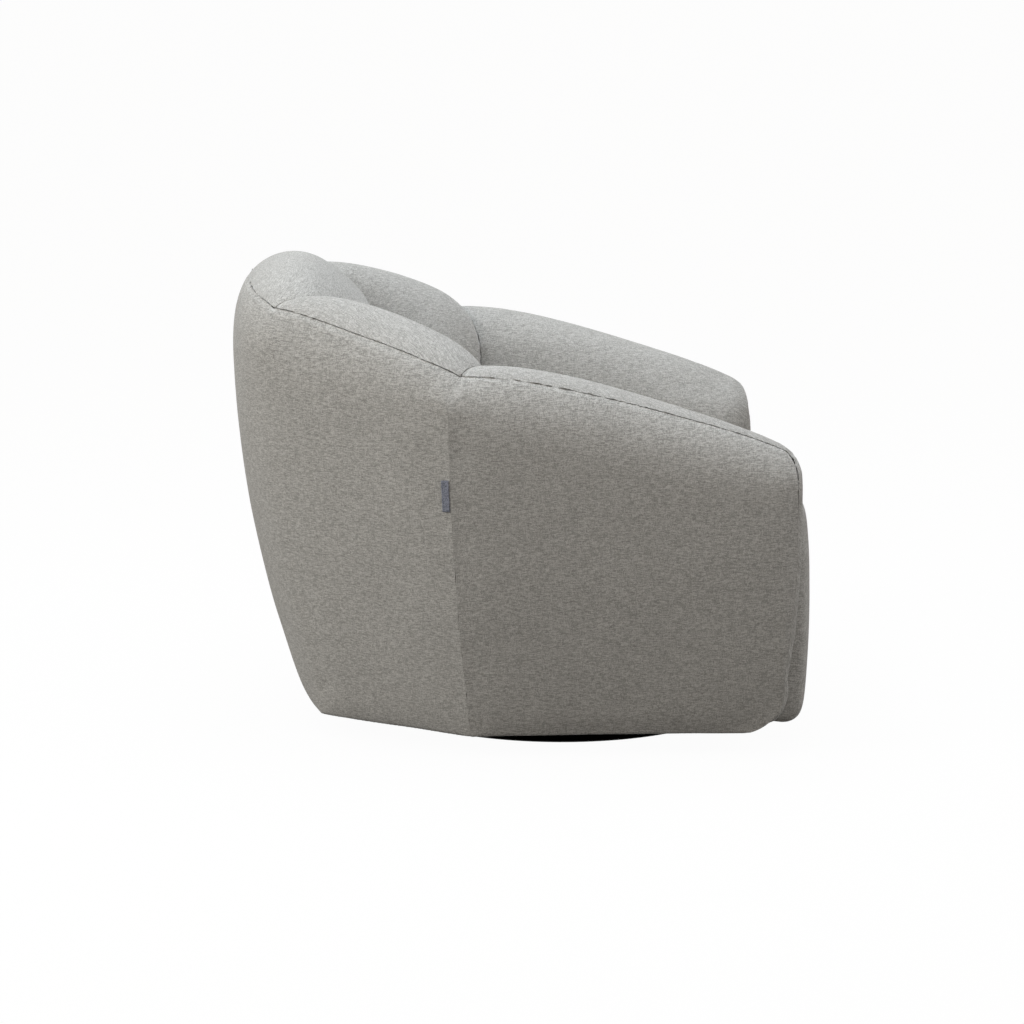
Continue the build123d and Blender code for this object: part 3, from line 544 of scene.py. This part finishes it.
def plump(piece, lobe):
    """Fills out the inside of a pad below its crest, away from its upright seams."""
    ease(piece, lobe, PAD_PASSES, ramp(-(normals_of(piece) @ lobe.out), *INWARD_LOOK))
    places = points_of(piece)
    below = lobe.crest(places)[1] - places[:, 2]
    full = ramp(below, *FULL_BELOW_CREST) * (1 - ramp(below, *FLAT_NEAR_SEAT))
    full = full * ramp(distance_to(places, lobe.sides), *FULL_FROM_SIDE)
    inward = np.clip(-(normals_of(piece) @ lobe.out), 0, 1)
    set_points(piece, places - lobe.out * (lobe.fullness * full * inward)[:, None])


def sewn_edges(lobe):
    """Places along the sharp edges where a piece's nodes meet the neighbours that they are sewn to."""
    near = tree_of(lobe.mates + lobe.sides)
    places = []
    for node in lobe.nodes:
        cut = bmesh.new()
        cut.from_mesh(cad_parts[node].data)
        bmesh.ops.remove_doubles(cut, verts=cut.verts, dist=WELD)
        for edge in cut.edges:
            if edge.calc_face_angle(0) < SHARP_ANGLE:
                continue
            first, last = (v.co for v in edge.verts)
            if max(near.find_nearest(first)[3], near.find_nearest(last)[3]) < SEWN_GAP:
                count = int(edge.calc_length() / SEWN_STEP) + 2
                places += [first.lerp(last, t) for t in np.linspace(0, 1, count)]
        cut.free()
    return places


def search(places):
    """Search tree over some places."""
    tree = KDTree(len(places))
    for i, place in enumerate(places):
        tree.insert(place, i)
    tree.balance()
    return tree


def close_seams(piece, lobe, reach):
    """Brings a piece's eased edges back to its cut, and its outermost row onto its sewn line."""
    places = points_of(piece)
    share = np.exp(-((distance_to(places, lobe.mates + lobe.sides) / reach) ** 2))
    own, sewn = tree_of(lobe.nodes), search(sewn_edges(lobe))
    for i in np.flatnonzero(share > LEAST_SHARE):
        cut = np.array(own.find_nearest(places[i])[0])
        places[i] += share[i] * (cut - places[i])
        line, _, far = sewn.find(places[i])
        places[i] += np.clip(2 - far / (SNAP_SHARE * reach), 0, 1) * (np.array(line) - places[i])
    set_points(piece, places)


def upholster(name, lobe, swell, pucker, stuffing):
    """Makes one padded piece from its CAD nodes: cut, filled, drawn in and creased along its seams."""
    piece = cut_copy(lobe.nodes, name, stuffing.voxel)
    set_points(piece, carry(points_of(piece), *fill(lobe, swell, stuffing)))
    if lobe.passes:
        ease(piece, lobe, lobe.passes)
    rolled = isinstance(lobe, RolledLobe)
    if rolled:
        plump(piece, lobe)
    if lobe.mates:
        close_seams(piece, lobe, stuffing.seam_width)
    places = points_of(piece)
    far_off = np.ones(len(places))
    to_mate = distance_to(places, lobe.mates) if lobe.mates else far_off
    to_side = distance_to(places, lobe.sides) if lobe.sides else far_off
    sewn = np.minimum(to_mate, to_side) if rolled else to_mate
    drawn = -stuffing.seam_depth * np.exp(-((sewn / stuffing.seam_width) ** 2))
    drawn *= ramp(places[:, 2], *DRAWN_HEIGHT)
    creased = TOP_PUCKER_SHARE * pucker * np.exp(-to_mate / TOP_PUCKER_REACH)
    creased *= ripple(lobe.along(places), 1.0)
    side_creased = SIDE_PUCKER_SHARE * pucker * np.exp(-to_side / SIDE_PUCKER_REACH)
    creased += side_creased * ripple(lobe.over(places), 2.0)
    uneven = WIDE_BILLOW[0] * billow(places, WIDE_BILLOW[1], 3.0)
    uneven += SMALL_BILLOW[0] * billow(places, SMALL_BILLOW[1], 9.0)
    loose = np.clip(distance_to(places, lobe.neighbours) / TOUCH_FADE, 0, 1)
    set_points(piece, places + normals_of(piece) * (drawn + loose * (creased + uneven))[:, None])
    lay_weave(piece, lobe)
    activate(piece)
    bpy.ops.object.shade_smooth_by_angle(angle=SMOOTH_ANGLE)
    dress(piece, lobe.nodes)
    return piece


def tuck_toe(piece):
    """Tucks the thin lower end of an arm pad's front roll in behind the outer cover."""
    places = points_of(piece)
    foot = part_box("arm_pad_right")[0][2]
    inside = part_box("bottom_board")[0][0] + TOE_TUCK
    share = np.clip((foot + TOE_HEIGHT - places[:, 2]) / TOE_FADE, 0, 1)
    places[:, 0] += share * np.maximum(inside - places[:, 0], 0)
    set_points(piece, places)


def dress(piece, nodes):
    """Gives a padded piece its cloth and its body, and hides the CAD nodes it stands in for."""
    piece.data.materials.append(cover_cloth())
    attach(piece, "chair")
    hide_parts(*nodes)


def other_side(piece, lobe):
    """The mirrored copy of a padded piece for the sitter's left."""
    mesh = piece.data.copy()
    mesh.materials.clear()
    twin = bpy.data.objects.new(piece.name.replace("_right", "_left"), mesh)
    bpy.context.scene.collection.objects.link(twin)
    places = points_of(twin)
    places[:, 0] = -places[:, 0]
    set_points(twin, places)
    mesh.flip_normals()
    dress(twin, [node.replace("_right", "_left") for node in lobe.nodes])


def new_material(name):
    """An empty node material with its Principled shader; returns the material, its tree and the shader."""
    material = bpy.data.materials.new(name)
    material.use_nodes = True
    tree = material.node_tree
    return material, tree, tree.nodes["Principled BSDF"]


def new_group(name, inputs, outputs):
    """A shader node group with named sockets; returns its tree, its input node and its output node."""
    tree = bpy.data.node_groups.new(name, "ShaderNodeTree")
    for label, kind, default in inputs:
        socket = tree.interface.new_socket(label, in_out="INPUT", socket_type=kind)
        if default is not None:
            socket.default_value = default
    for label, kind in outputs:
        tree.interface.new_socket(label, in_out="OUTPUT", socket_type=kind)
    return tree, tree.nodes.new("NodeGroupInput"), tree.nodes.new("NodeGroupOutput")


def math_node(tree, operation, *values):
    """A Math node fed by sockets or numbers; returns its result."""
    node = tree.nodes.new("ShaderNodeMath")
    node.operation = operation
    for place, value in enumerate(values):
        if isinstance(value, (int, float)):
            node.inputs[place].default_value = value
        else:
            tree.links.new(value, node.inputs[place])
    return node.outputs[0]


def noise_node(tree, vector, scale, detail=2.0, dimensions="3D"):
    """A Noise Texture; returns its value."""
    node = tree.nodes.new("ShaderNodeTexNoise")
    node.noise_dimensions = dimensions
    node.inputs["Scale"].default_value = scale
    node.inputs["Detail"].default_value = detail
    tree.links.new(vector, node.inputs["Vector"])
    return node.outputs["Fac"]


def spread(tree, value, share, offset):
    """A value times a share, plus an offset."""
    return math_node(tree, "ADD", math_node(tree, "MULTIPLY", value, share), offset)


def combine(tree, x, y):
    """A vector from two values."""
    node = tree.nodes.new("ShaderNodeCombineXYZ")
    tree.links.new(x, node.inputs[0])
    tree.links.new(y, node.inputs[1])
    return node.outputs[0]


def mix_colour(tree, share, first, second, blend="MIX"):
    """A colour mix fed by sockets, numbers or colours; returns the colour."""
    node = tree.nodes.new("ShaderNodeMix")
    node.data_type = "RGBA"
    node.blend_type = blend
    for socket, value in ((node.inputs[0], share), (node.inputs[6], first), (node.inputs[7], second)):
        if isinstance(value, (int, float)):
            socket.default_value = value
        elif isinstance(value, (tuple, list)):
            socket.default_value = (*value[:3], 1)
        else:
            tree.links.new(value, socket)
    return node.outputs[2]


def stretch(tree, value, low, high):
    """A value between two limits, spread over 0 to 1."""
    node = tree.nodes.new("ShaderNodeMapRange")
    node.clamp = True
    node.inputs["From Min"].default_value = low
    node.inputs["From Max"].default_value = high
    tree.links.new(value, node.inputs["Value"])
    return node.outputs[0]


def seen_directly(tree):
    """1 for rays that show a surface to the camera, straight or in a mirror or through glass, else 0."""
    path = tree.nodes.new("ShaderNodeLightPath")
    seen = math_node(tree, "MAXIMUM", path.outputs["Is Camera Ray"], path.outputs["Is Glossy Ray"])
    return math_node(tree, "MAXIMUM", seen, path.outputs["Is Transmission Ray"])


def show_mix(tree, share, first, second, output):
    """Mixes two shaders into an output node."""
    both = tree.nodes.new("ShaderNodeMixShader")
    for socket, value in zip(both.inputs, (share, first.outputs[0], second.outputs[0])):
        tree.links.new(value, socket)
    tree.links.new(both.outputs[0], tree.nodes[output].inputs["Surface"])


def plain_weave():
    """Node group of a plain weave: which yarn is on top, its slubs, the height of the threads, and a painted
    shade that darkens the yarns towards their edges and in the gaps between them.
    """
    found = bpy.data.node_groups.get("plain weave")
    if found:
        return found
    tree, given, made = new_group(
        "plain weave",
        [("Cloth", "NodeSocketVector", None), ("Yarn pitch", "NodeSocketFloat", 0.0017),
         ("Slub length", "NodeSocketFloat", 0.008)],
        [("Fleck", "NodeSocketFloat"), ("Height", "NodeSocketFloat"), ("Shade", "NodeSocketFloat")],
    )
    split = tree.nodes.new("ShaderNodeSeparateXYZ")
    tree.links.new(given.outputs["Cloth"], split.inputs[0])
    drift = noise_node(tree, given.outputs["Cloth"], DRIFT_SCALE, 1, "2D")
    wander = math_node(tree, "MULTIPLY", math_node(tree, "SUBTRACT", drift, 0.5), YARN_DRIFT)
    across = math_node(tree, "ADD", split.outputs[0], wander)
    along = math_node(tree, "ADD", split.outputs[1], wander)
    pitch = given.outputs["Yarn pitch"]
    slub = given.outputs["Slub length"]
    warp = math_node(tree, "DIVIDE", across, pitch)
    weft = math_node(tree, "DIVIDE", along, pitch)
    warp_yarn = math_node(tree, "FLOOR", warp)
    weft_yarn = math_node(tree, "FLOOR", weft)
    warp_row = math_node(tree, "MULTIPLY", warp_yarn, WARP_SPACING)
    weft_row = math_node(tree, "MULTIPLY", weft_yarn, WEFT_SPACING)
    up_slubs = math_node(tree, "DIVIDE", along, slub)
    cross_slubs = math_node(tree, "DIVIDE", across, slub)
    warp_slub = noise_node(tree, combine(tree, warp_row, up_slubs), 1, 1, "2D")
    weft_slub = noise_node(tree, combine(tree, cross_slubs, weft_row), 1, 1, "2D")
    speck = tree.nodes.new("ShaderNodeTexWhiteNoise")
    speck.noise_dimensions = "2D"
    tree.links.new(combine(tree, warp_yarn, weft_yarn), speck.inputs["Vector"])
    dashes = []
    for weft_limits, warp_limits in (PALE_DASHES, DIM_DASHES):
        warp_dash = math_node(tree, "MULTIPLY", stretch(tree, warp_slub, *warp_limits), WARP_SHARE)
        dashes.append(math_node(tree, "MAXIMUM", stretch(tree, weft_slub, *weft_limits), warp_dash))
    streak = math_node(tree, "MULTIPLY", math_node(tree, "SUBTRACT", *dashes), STREAK_SHARE)
    grainy = math_node(tree, "MULTIPLY", speck.outputs["Value"], SPECK_SHARE)
    streak = math_node(tree, "ADD", math_node(tree, "ADD", streak, grainy), FLECK_OFFSET)
    turn = math_node(tree, "MULTIPLY", math_node(tree, "ADD", warp_yarn, weft_yarn), 0.5)
    weft_up = math_node(tree, "GREATER_THAN", math_node(tree, "FRACT", turn), 0.25)
    rounds = []
    for side in (warp, weft):
        part = math_node(tree, "FRACT", side)
        rounds.append(math_node(tree, "MULTIPLY", math_node(tree, "MULTIPLY", part, 4),
                                math_node(tree, "SUBTRACT", 1, part)))
    pillow = math_node(tree, "SQRT", math_node(tree, "MULTIPLY", *rounds))
    raised = math_node(tree, "ADD", math_node(tree, "MULTIPLY", weft_up, WEFT_RISE), pillow)
    tree.links.new(streak, made.inputs["Fleck"])
    tree.links.new(math_node(tree, "ADD", raised, streak), made.inputs["Height"])
    # Shade is painted shade: darker towards each yarn's edges and in the gaps between yarns, lighter on their
    # crowns
    tree.links.new(spread(tree, pillow, *YARN_SHADE), made.inputs["Shade"])
    return tree


def place_group(tree, group):
    """One use of a shared node group in a material."""
    node = tree.nodes.new("ShaderNodeGroup")
    node.node_tree = group
    return node


def bump(tree, shader, height, distance, strength):
    """Feeds a height into the shader's normal."""
    node = tree.nodes.new("ShaderNodeBump")
    node.inputs["Distance"].default_value = distance
    node.inputs["Strength"].default_value = strength
    tree.links.new(height, node.inputs["Height"])
    tree.links.new(node.outputs[0], shader.inputs["Normal"])


def woven_material(name, pale, ground, dark, pitch, slub, contrast):
    """A woven cloth with slubby yarns and painted shade between the yarns, read from the piece's own UV map.
    """
    found = bpy.data.materials.get(name)
    if found:
        return found
    material, tree, shader = new_material(name)
    laid = tree.nodes.new("ShaderNodeUVMap")
    laid.uv_map = "weave"
    weave = place_group(tree, plain_weave())
    tree.links.new(laid.outputs[0], weave.inputs["Cloth"])
    weave.inputs["Yarn pitch"].default_value = pitch
    weave.inputs["Slub length"].default_value = slub
    fleck = weave.outputs["Fleck"]
    low = mix_colour(tree, stretch(tree, fleck, 0.5 - contrast, 0.5), dark, ground)
    yarn = mix_colour(tree, stretch(tree, fleck, 0.5, 0.5 + contrast), low, pale)
    cloudy = noise_node(tree, laid.outputs[0], 14, 3, "2D")
    # painted shade between the yarns, times a random cloudy tone, multiplied into the base colour
    shade = math_node(tree, "MULTIPLY", weave.outputs["Shade"], spread(tree, cloudy, *CLOUD_TONE))
    painted_shade_and_tone = tree.nodes.new("ShaderNodeCombineColor")
    for socket in painted_shade_and_tone.inputs[:3]:
        tree.links.new(shade, socket)
    tree.links.new(mix_colour(tree, 1.0, yarn, painted_shade_and_tone.outputs[0], "MULTIPLY"), shader.inputs["Base Color"])
    tree.links.new(spread(tree, fleck, *FLECK_ROUGHNESS), shader.inputs["Roughness"])
    shader.inputs["Specular IOR Level"].default_value = 0.2
    shader.inputs["Sheen Weight"].default_value = 0.18
    shader.inputs["Sheen Roughness"].default_value = 0.5
    bump(tree, shader, weave.outputs["Height"], pitch * 0.35, 0.3)
    return material


def cover_cloth():
    """The heathered cloth of all pads and covers."""
    cloth = bpy.context.scene.chair_cloth
    yarns = (cloth.pale_yarn[:], cloth.ground_yarn[:], cloth.dark_yarn[:])
    sizes = (cloth.yarn_pitch, cloth.slub_length)
    return woven_material("heathered cover cloth", *yarns, *sizes, COVER_CONTRAST)


def speckled_material(name, first, second, scale, roughness, metallic=0.0, grain=(1, 1, 1), depth=0.0003,
                      specular=0.5):
    """A finish with a fine grain on Object coordinates: felt, foam, timber, paint, plated steel or nylon."""
    found = bpy.data.materials.get(name)
    if found:
        return found
    material, tree, shader = new_material(name)
    place = tree.nodes.new("ShaderNodeTexCoord")
    turned = tree.nodes.new("ShaderNodeMapping")
    turned.inputs["Scale"].default_value = grain
    tree.links.new(place.outputs["Object"], turned.inputs["Vector"])
    grained = place_group(tree, fine_grain())
    tree.links.new(turned.outputs[0], grained.inputs["Place"])
    grained.inputs["Grain scale"].default_value = scale
    tree.links.new(mix_colour(tree, grained.outputs["Grain"], first, second), shader.inputs["Base Color"])
    rough = spread(tree, grained.outputs["Wear"], 0.25, roughness - 0.12)
    tree.links.new(rough, shader.inputs["Roughness"])
    shader.inputs["Metallic"].default_value = metallic
    shader.inputs["Specular IOR Level"].default_value = specular
    bump(tree, shader, grained.outputs["Grain"], depth, 0.4)
    return material


def fine_grain():
    """Node group of a two-scale grain and a slow wear mask."""
    found = bpy.data.node_groups.get("fine grain")
    if found:
        return found
    tree, given, made = new_group(
        "fine grain",
        [("Place", "NodeSocketVector", None), ("Grain scale", "NodeSocketFloat", 300.0)],
        [("Grain", "NodeSocketFloat"), ("Wear", "NodeSocketFloat")],
    )
    fine = tree.nodes.new("ShaderNodeTexNoise")
    fine.inputs["Detail"].default_value = 5
    tree.links.new(given.outputs["Place"], fine.inputs["Vector"])
    tree.links.new(given.outputs["Grain scale"], fine.inputs["Scale"])
    slow = noise_node(tree, given.outputs["Place"], 9, 4)
    both = math_node(tree, "ADD", math_node(tree, "MULTIPLY", fine.outputs["Fac"], 0.7),
                     math_node(tree, "MULTIPLY", slow, 0.3))
    tree.links.new(stretch(tree, both, 0.35, 0.65), made.inputs["Grain"])
    tree.links.new(stretch(tree, slow, 0.3, 0.7), made.inputs["Wear"])
    return tree


def coat(nodes, material):
    """Gives CAD nodes that stay as they are a better material."""
    for node in nodes:
        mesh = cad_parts[node].data
        if mesh.materials:
            for slot in range(len(mesh.materials)):
                mesh.materials[slot] = material
        else:
            mesh.materials.append(material)


class StuffPads(bpy.types.Operator):
    """Cuts, fills and sews the pads of the arms, wings and back"""

    bl_idname = "chair.stuff_pads"
    bl_label = "Stuff the Pads"

    def execute(self, context):
        stuffing = context.scene.chair_stuffing
        for name, lobe in pad_lobes.items():
            swell = stuffing.arm_swell if name.startswith("arm") else stuffing.back_swell
            piece = upholster(name, lobe, swell, PAD_PUCKER, stuffing)
            if name.startswith("arm"):
                tuck_toe(piece)
            if name.endswith("_right"):
                other_side(piece, lobe)
        return {"FINISHED"}


class StretchCovers(bpy.types.Operator):
    """Stretches the padded outer covers over the arms, wings and back"""

    bl_idname = "chair.stretch_covers"
    bl_label = "Stretch the Outer Covers"

    def execute(self, context):
        stuffing = context.scene.chair_stuffing
        for name, lobe in cover_lobes.items():
            piece = upholster(name, lobe, stuffing.cover_swell, COVER_PUCKER, stuffing)
            if name.endswith("_right"):
                other_side(piece, lobe)
        return {"FINISHED"}


class StuffSeat(bpy.types.Operator):
    """Cuts and fills the seat cushion with its waterfall front"""

    bl_idname = "chair.stuff_seat"
    bl_label = "Stuff the Seat"

    def execute(self, context):
        stuffing = context.scene.chair_stuffing
        seat = upholster("seat_cushion_cloth", seat_lobe, stuffing.seat_swell, 0, stuffing)
        places = points_of(seat)
        places[:, 2] -= stuffing.seat_settling * ramp(places[:, 2], *SETTLING_HEIGHT)
        places[:, 0] *= 1 + stuffing.seat_press * ramp(-places[:, 1], *PRESS_FORWARD)
        set_points(seat, places)
        return {"FINISHED"}


class FinishBase(bpy.types.Operator):
    """Paints the plinth and finishes the floor pad and the swivel bearing"""

    bl_idname = "chair.finish_base"
    bl_label = "Finish the Base"

    def execute(self, context):
        paint = speckled_material("matt black paint", (0.002, 0.002, 0.0017), (0.006, 0.006, 0.0055), 900,
                                  0.8, depth=0.0001, specular=0.0)
        felt = speckled_material("pressed felt", (0.02, 0.02, 0.02), (0.06, 0.06, 0.06), 1400, 0.95,
                                 depth=0.0006)
        plate = speckled_material("zinc-plated plate", (0.42, 0.42, 0.43), (0.62, 0.62, 0.64), 120, 0.42, 1.0,
                                  depth=0.0001)
        ball = speckled_material("polished ball", (0.62, 0.62, 0.63), (0.7, 0.7, 0.71), 500, 0.18, 1.0,
                                 depth=0.00002)
        nylon = speckled_material("moulded nylon", (0.010, 0.010, 0.010), (0.025, 0.025, 0.024), 700, 0.5)
        fastener = speckled_material("zinc-plated fastener", (0.48, 0.48, 0.47), (0.68, 0.68, 0.66), 260,
                                     0.36, 1.0, depth=0.00005)
        coat(["base_plinth"], paint)
        coat(["floor_pad", "seat_deck"], felt)
        coat(["swivel_lower_plate", "swivel_upper_plate"], plate)
        coat(["swivel_balls"], ball)
        coat(["ball_cage", "pivot_bush"], nylon)
        coat(["pivot_bolt", "pivot_washer", "pivot_nut", "lower_plate_screws", "upper_plate_screws",
              "tee_nuts", "board_screws", "spring_clips"], fastener)
        return {"FINISHED"}


class FinishFrame(bpy.types.Operator):
    """Finishes the timber, the springs and the foam inside the chair"""

    bl_idname = "chair.finish_frame"
    bl_label = "Finish the Frame"

    def execute(self, context):
        upright = speckled_material("upright plywood", (0.36, 0.22, 0.11), (0.55, 0.38, 0.21), 220, 0.62,
                                    grain=(1, 1, 0.06))
        level = speckled_material("level plywood", (0.34, 0.21, 0.10), (0.53, 0.36, 0.20), 220, 0.62,
                                  grain=(0.06, 1, 1))
        wire = speckled_material("oiled spring wire", (0.12, 0.12, 0.125), (0.24, 0.24, 0.24), 420, 0.38, 1.0,
                                 depth=0.00005)
        foam = speckled_material("open foam", (0.62, 0.56, 0.34), (0.74, 0.68, 0.46), 1100, 0.95,
                                 depth=0.0008)
        coat(["arm_board_right", "arm_board_left", "wing_board_right", "wing_board_left", "back_board",
              "wing_block_right", "wing_block_left", "back_block_right", "back_block_left"], upright)
        coat(["bottom_board", "front_rail", "seat_rail_right", "seat_rail_left", "seat_back_rail"], level)
        coat(["seat_springs"], wire)
        coat(["seat_foam_core"], foam)
        return {"FINISHED"}


class SewTab(bpy.types.Operator):
    """Sews the plain cloth tab into the upright seam"""

    bl_idname = "chair.sew_tab"
    bl_label = "Sew the Tab"
    width = 0.011
    length = 0.046
    thickness = 0.0009
    sewn_lift = 0.0007
    loose_lift = 0.0016
    yarn_pitch = 0.0007
    slub_length = 0.004

    def execute(self, context):
        cloth = context.scene.chair_cloth
        corners = np.array([v.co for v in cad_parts["seam_tab"].data.vertices])
        middle = (corners.min(0) + corners.max(0)) / 2
        cover = bpy.data.objects["rear_cover_cloth"]
        face = BVHTree.FromObject(cover, context.evaluated_depsgraph_get())
        hit, outward, _, _ = face.find_nearest(middle)
        run = Vector(wing_run)
        run = (run - outward * run.dot(outward)).normalized()
        up = outward.cross(run)
        activate(cover)
        bpy.ops.mesh.primitive_grid_add(x_subdivisions=9, y_subdivisions=24, size=1)
        tab = context.active_object
        tab.name = "seam_tab_cloth"
        places = points_of(tab)
        laid = np.stack([places[:, 0] * self.width, places[:, 1] * self.length], axis=1)
        for i, (across, along) in enumerate(laid):
            loose = (across / self.width + 0.5) ** 2
            lift = self.sewn_lift + self.loose_lift * loose
            places[i] = hit + run * across + up * along + outward * lift
        set_points(tab, places)
        weave = tab.data.uv_layers.active
        weave.name = "weave"
        order = np.empty(len(tab.data.loops), np.int64)
        tab.data.loops.foreach_get("vertex_index", order)
        weave.data.foreach_set("uv", laid[order].astype(np.float32).ravel())
        apply_modifier(tab, "SOLIDIFY", thickness=self.thickness, offset=1)
        bpy.ops.object.shade_smooth()
        pale = tuple(min(1, 1.5 * c) for c in cloth.tab_yarn)
        dark = tuple(0.55 * c for c in cloth.tab_yarn)
        tab.data.materials.append(woven_material("tab cloth", pale, cloth.tab_yarn[:], dark, self.yarn_pitch,
                                                 self.slub_length, TAB_CONTRAST))
        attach(tab, "chair")
        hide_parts("seam_tab")
        return {"FINISHED"}


class HangDustCloth(bpy.types.Operator):
    """Tacks the thin dust cloth under the bottom board, where it sags a little between its tacks"""

    bl_idname = "chair.hang_dust_cloth"
    bl_label = "Hang the Dust Cloth"
    face_size = 0.02
    sag = 0.0025
    sag_reach = 0.07
    sag_unevenness = 0.4
    sag_length = 0.05

    def execute(self, context):
        low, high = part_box("dust_cover")
        sheet = bmesh.new()
        sheet.from_mesh(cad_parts["dust_cover"].data)
        bmesh.ops.remove_doubles(sheet, verts=sheet.verts, dist=WELD)
        upper = [face for face in sheet.faces if face.normal.z > -0.9]
        bmesh.ops.delete(sheet, geom=upper, context="FACES")
        for axis in (0, 1):
            square = Vector((axis == 0, axis == 1, 0))
            for place in np.arange(low[axis] + self.face_size / 2, high[axis], self.face_size):
                whole = sheet.verts[:] + sheet.edges[:] + sheet.faces[:]
                bmesh.ops.bisect_plane(sheet, geom=whole, plane_co=square * float(place), plane_no=square)
        area = sum(face.calc_area() for face in sheet.faces)
        tree = search([v.co.copy() for v in sheet.verts if v.is_boundary])
        for v in sheet.verts:
            loose = min(1, tree.find(v.co)[2] / self.sag_reach)
            wave = noise.noise((v.co.x / self.sag_length, v.co.y / self.sag_length, 2.5))
            v.co.z -= self.sag * loose * (1 + self.sag_unevenness * wave)
        mesh = bpy.data.meshes.new("dust_cloth")
        sheet.to_mesh(mesh)
        sheet.free()
        cloth = bpy.data.objects.new("dust_cloth", mesh)
        context.scene.collection.objects.link(cloth)
        apply_modifier(cloth, "SOLIDIFY", thickness=high[2] - low[2], offset=-1)
        bpy.ops.object.shade_smooth()
        black = speckled_material("black dust cloth", (0.006, 0.006, 0.006), (0.02, 0.02, 0.02), 1600, 0.9)
        mesh.materials.append(black)
        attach(cloth, "chair")
        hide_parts("dust_cover")
        return {"FINISHED"}


class LayStage(bpy.types.Operator):
    """Lays the pale floor and sets the camera, lamps and backdrop"""

    bl_idname = "chair.lay_stage"
    bl_label = "Lay the Stage"
    aim = (0, 0, 0.35)
    dim_floor = (0.14, 0.14, 0.135)
    shadow_floor = (0.95, 0.95, 0.95)
    white_share = 0.965
    soft_light = (0.405, 0.367, 0.327)

    def execute(self, context):
        settings = context.scene.chair_stage
        scene = context.scene
        scene.view_settings.view_transform = "Standard"
        place = Vector(settings.camera_place)
        aim = (Vector(settings.camera_target) - place).to_track_quat("-Z", "Y").to_euler()
        bpy.ops.object.camera_add(location=place, rotation=aim)
        camera = context.active_object
        camera.name = "photo_camera"
        camera.data.lens = settings.camera_lens
        camera.data.sensor_width = 36
        camera.data.clip_end = 100
        scene.camera = camera
        for name, at, size, power, tint in (
            ("top_lamp", (0.1, 0.3, 2.9), 2.6, settings.top_light, (0.80, 0.91, 1.0)),
            ("rear_lamp", (-1.6, 3.2, 2.2), 2.2, settings.rear_light, (1.0, 0.985, 0.93)),
            ("front_lamp", (-1.0, -3.0, 2.4), 2.2, settings.front_light, (0.95, 0.98, 1.0)),
        ):
            at = Vector(at)
            turn = (Vector(self.aim) - at).to_track_quat("-Z", "Y").to_euler()
            bpy.ops.object.light_add(type="AREA", location=at, rotation=turn)
            lamp = context.active_object
            lamp.name = name
            lamp.data.shape = "DISK"
            lamp.data.size = size
            lamp.data.energy = power
            lamp.data.color = tint
        bpy.ops.mesh.primitive_plane_add(size=60, location=(0, 0, 0))
        floor = context.active_object
        floor.name = "pale_floor"
        floor.data.materials.append(self.floor_material())
        scene.world = self.studio_world()
        return {"FINISHED"}

    def floor_material(self):
        """Pale floor that the camera sees as white with a soft shadow."""
        material, tree, shader = new_material("pale floor")
        shader.inputs["Roughness"].default_value = 0.9
        white = tree.nodes.new("ShaderNodeEmission")
        white.inputs["Strength"].default_value = 1.0
        seen = seen_directly(tree)
        colour = mix_colour(tree, seen, self.dim_floor, self.shadow_floor)
        tree.links.new(colour, shader.inputs["Base Color"])
        share = math_node(tree, "MULTIPLY", seen, self.white_share)
        show_mix(tree, share, shader, white, "Material Output")
        return material

    def studio_world(self):
        """Even soft light, behind a background that the camera sees as white."""
        world = bpy.data.worlds.new("studio")
        world.use_nodes = True
        tree = world.node_tree
        soft = tree.nodes["Background"]
        soft.inputs["Color"].default_value = (*self.soft_light, 1)
        soft.inputs["Strength"].default_value = 1.0
        white = tree.nodes.new("ShaderNodeBackground")
        white.inputs["Color"].default_value = (1, 1, 1, 1)
        show_mix(tree, seen_directly(tree), soft, white, "World Output")
        return world


class ChairPanel(bpy.types.Panel):
    """Settings and steps of the swivel tub chair"""

    bl_idname = "VIEW3D_PT_tub_chair"
    bl_label = "Swivel Tub Chair"
    bl_space_type = "VIEW_3D"
    bl_region_type = "UI"
    bl_category = "Tub Chair"

    def draw(self, context):
        layout = self.layout
        for group in (context.scene.chair_cloth, context.scene.chair_stuffing, context.scene.chair_stage):
            box = layout.box()
            for name in group.bl_rna.properties.keys():
                if name not in ("rna_type", "name"):
                    box.prop(group, name)
        for step in steps:
            layout.operator(step.bl_idname)


steps = (LayStage, StuffPads, StretchCovers, StuffSeat, SewTab, HangDustCloth, FinishBase, FinishFrame)
classes = (ClothSettings, StuffingSettings, StageSettings, *steps, ChairPanel)


def register():
    for each in classes:
        bpy.utils.register_class(each)
    bpy.types.Scene.chair_cloth = PointerProperty(type=ClothSettings)
    bpy.types.Scene.chair_stuffing = PointerProperty(type=StuffingSettings)
    bpy.types.Scene.chair_stage = PointerProperty(type=StageSettings)


def unregister():
    del bpy.types.Scene.chair_stage
    del bpy.types.Scene.chair_stuffing
    del bpy.types.Scene.chair_cloth
    for each in reversed(classes):
        bpy.utils.unregister_class(each)


def main():
    register()
    bpy.ops.chair.lay_stage()
    bpy.ops.chair.stuff_pads()
    bpy.ops.chair.stretch_covers()
    bpy.ops.chair.stuff_seat()
    bpy.ops.chair.sew_tab()
    bpy.ops.chair.hang_dust_cloth()
    bpy.ops.chair.finish_base()
    bpy.ops.chair.finish_frame()


if __name__ == "__main__":
    main()
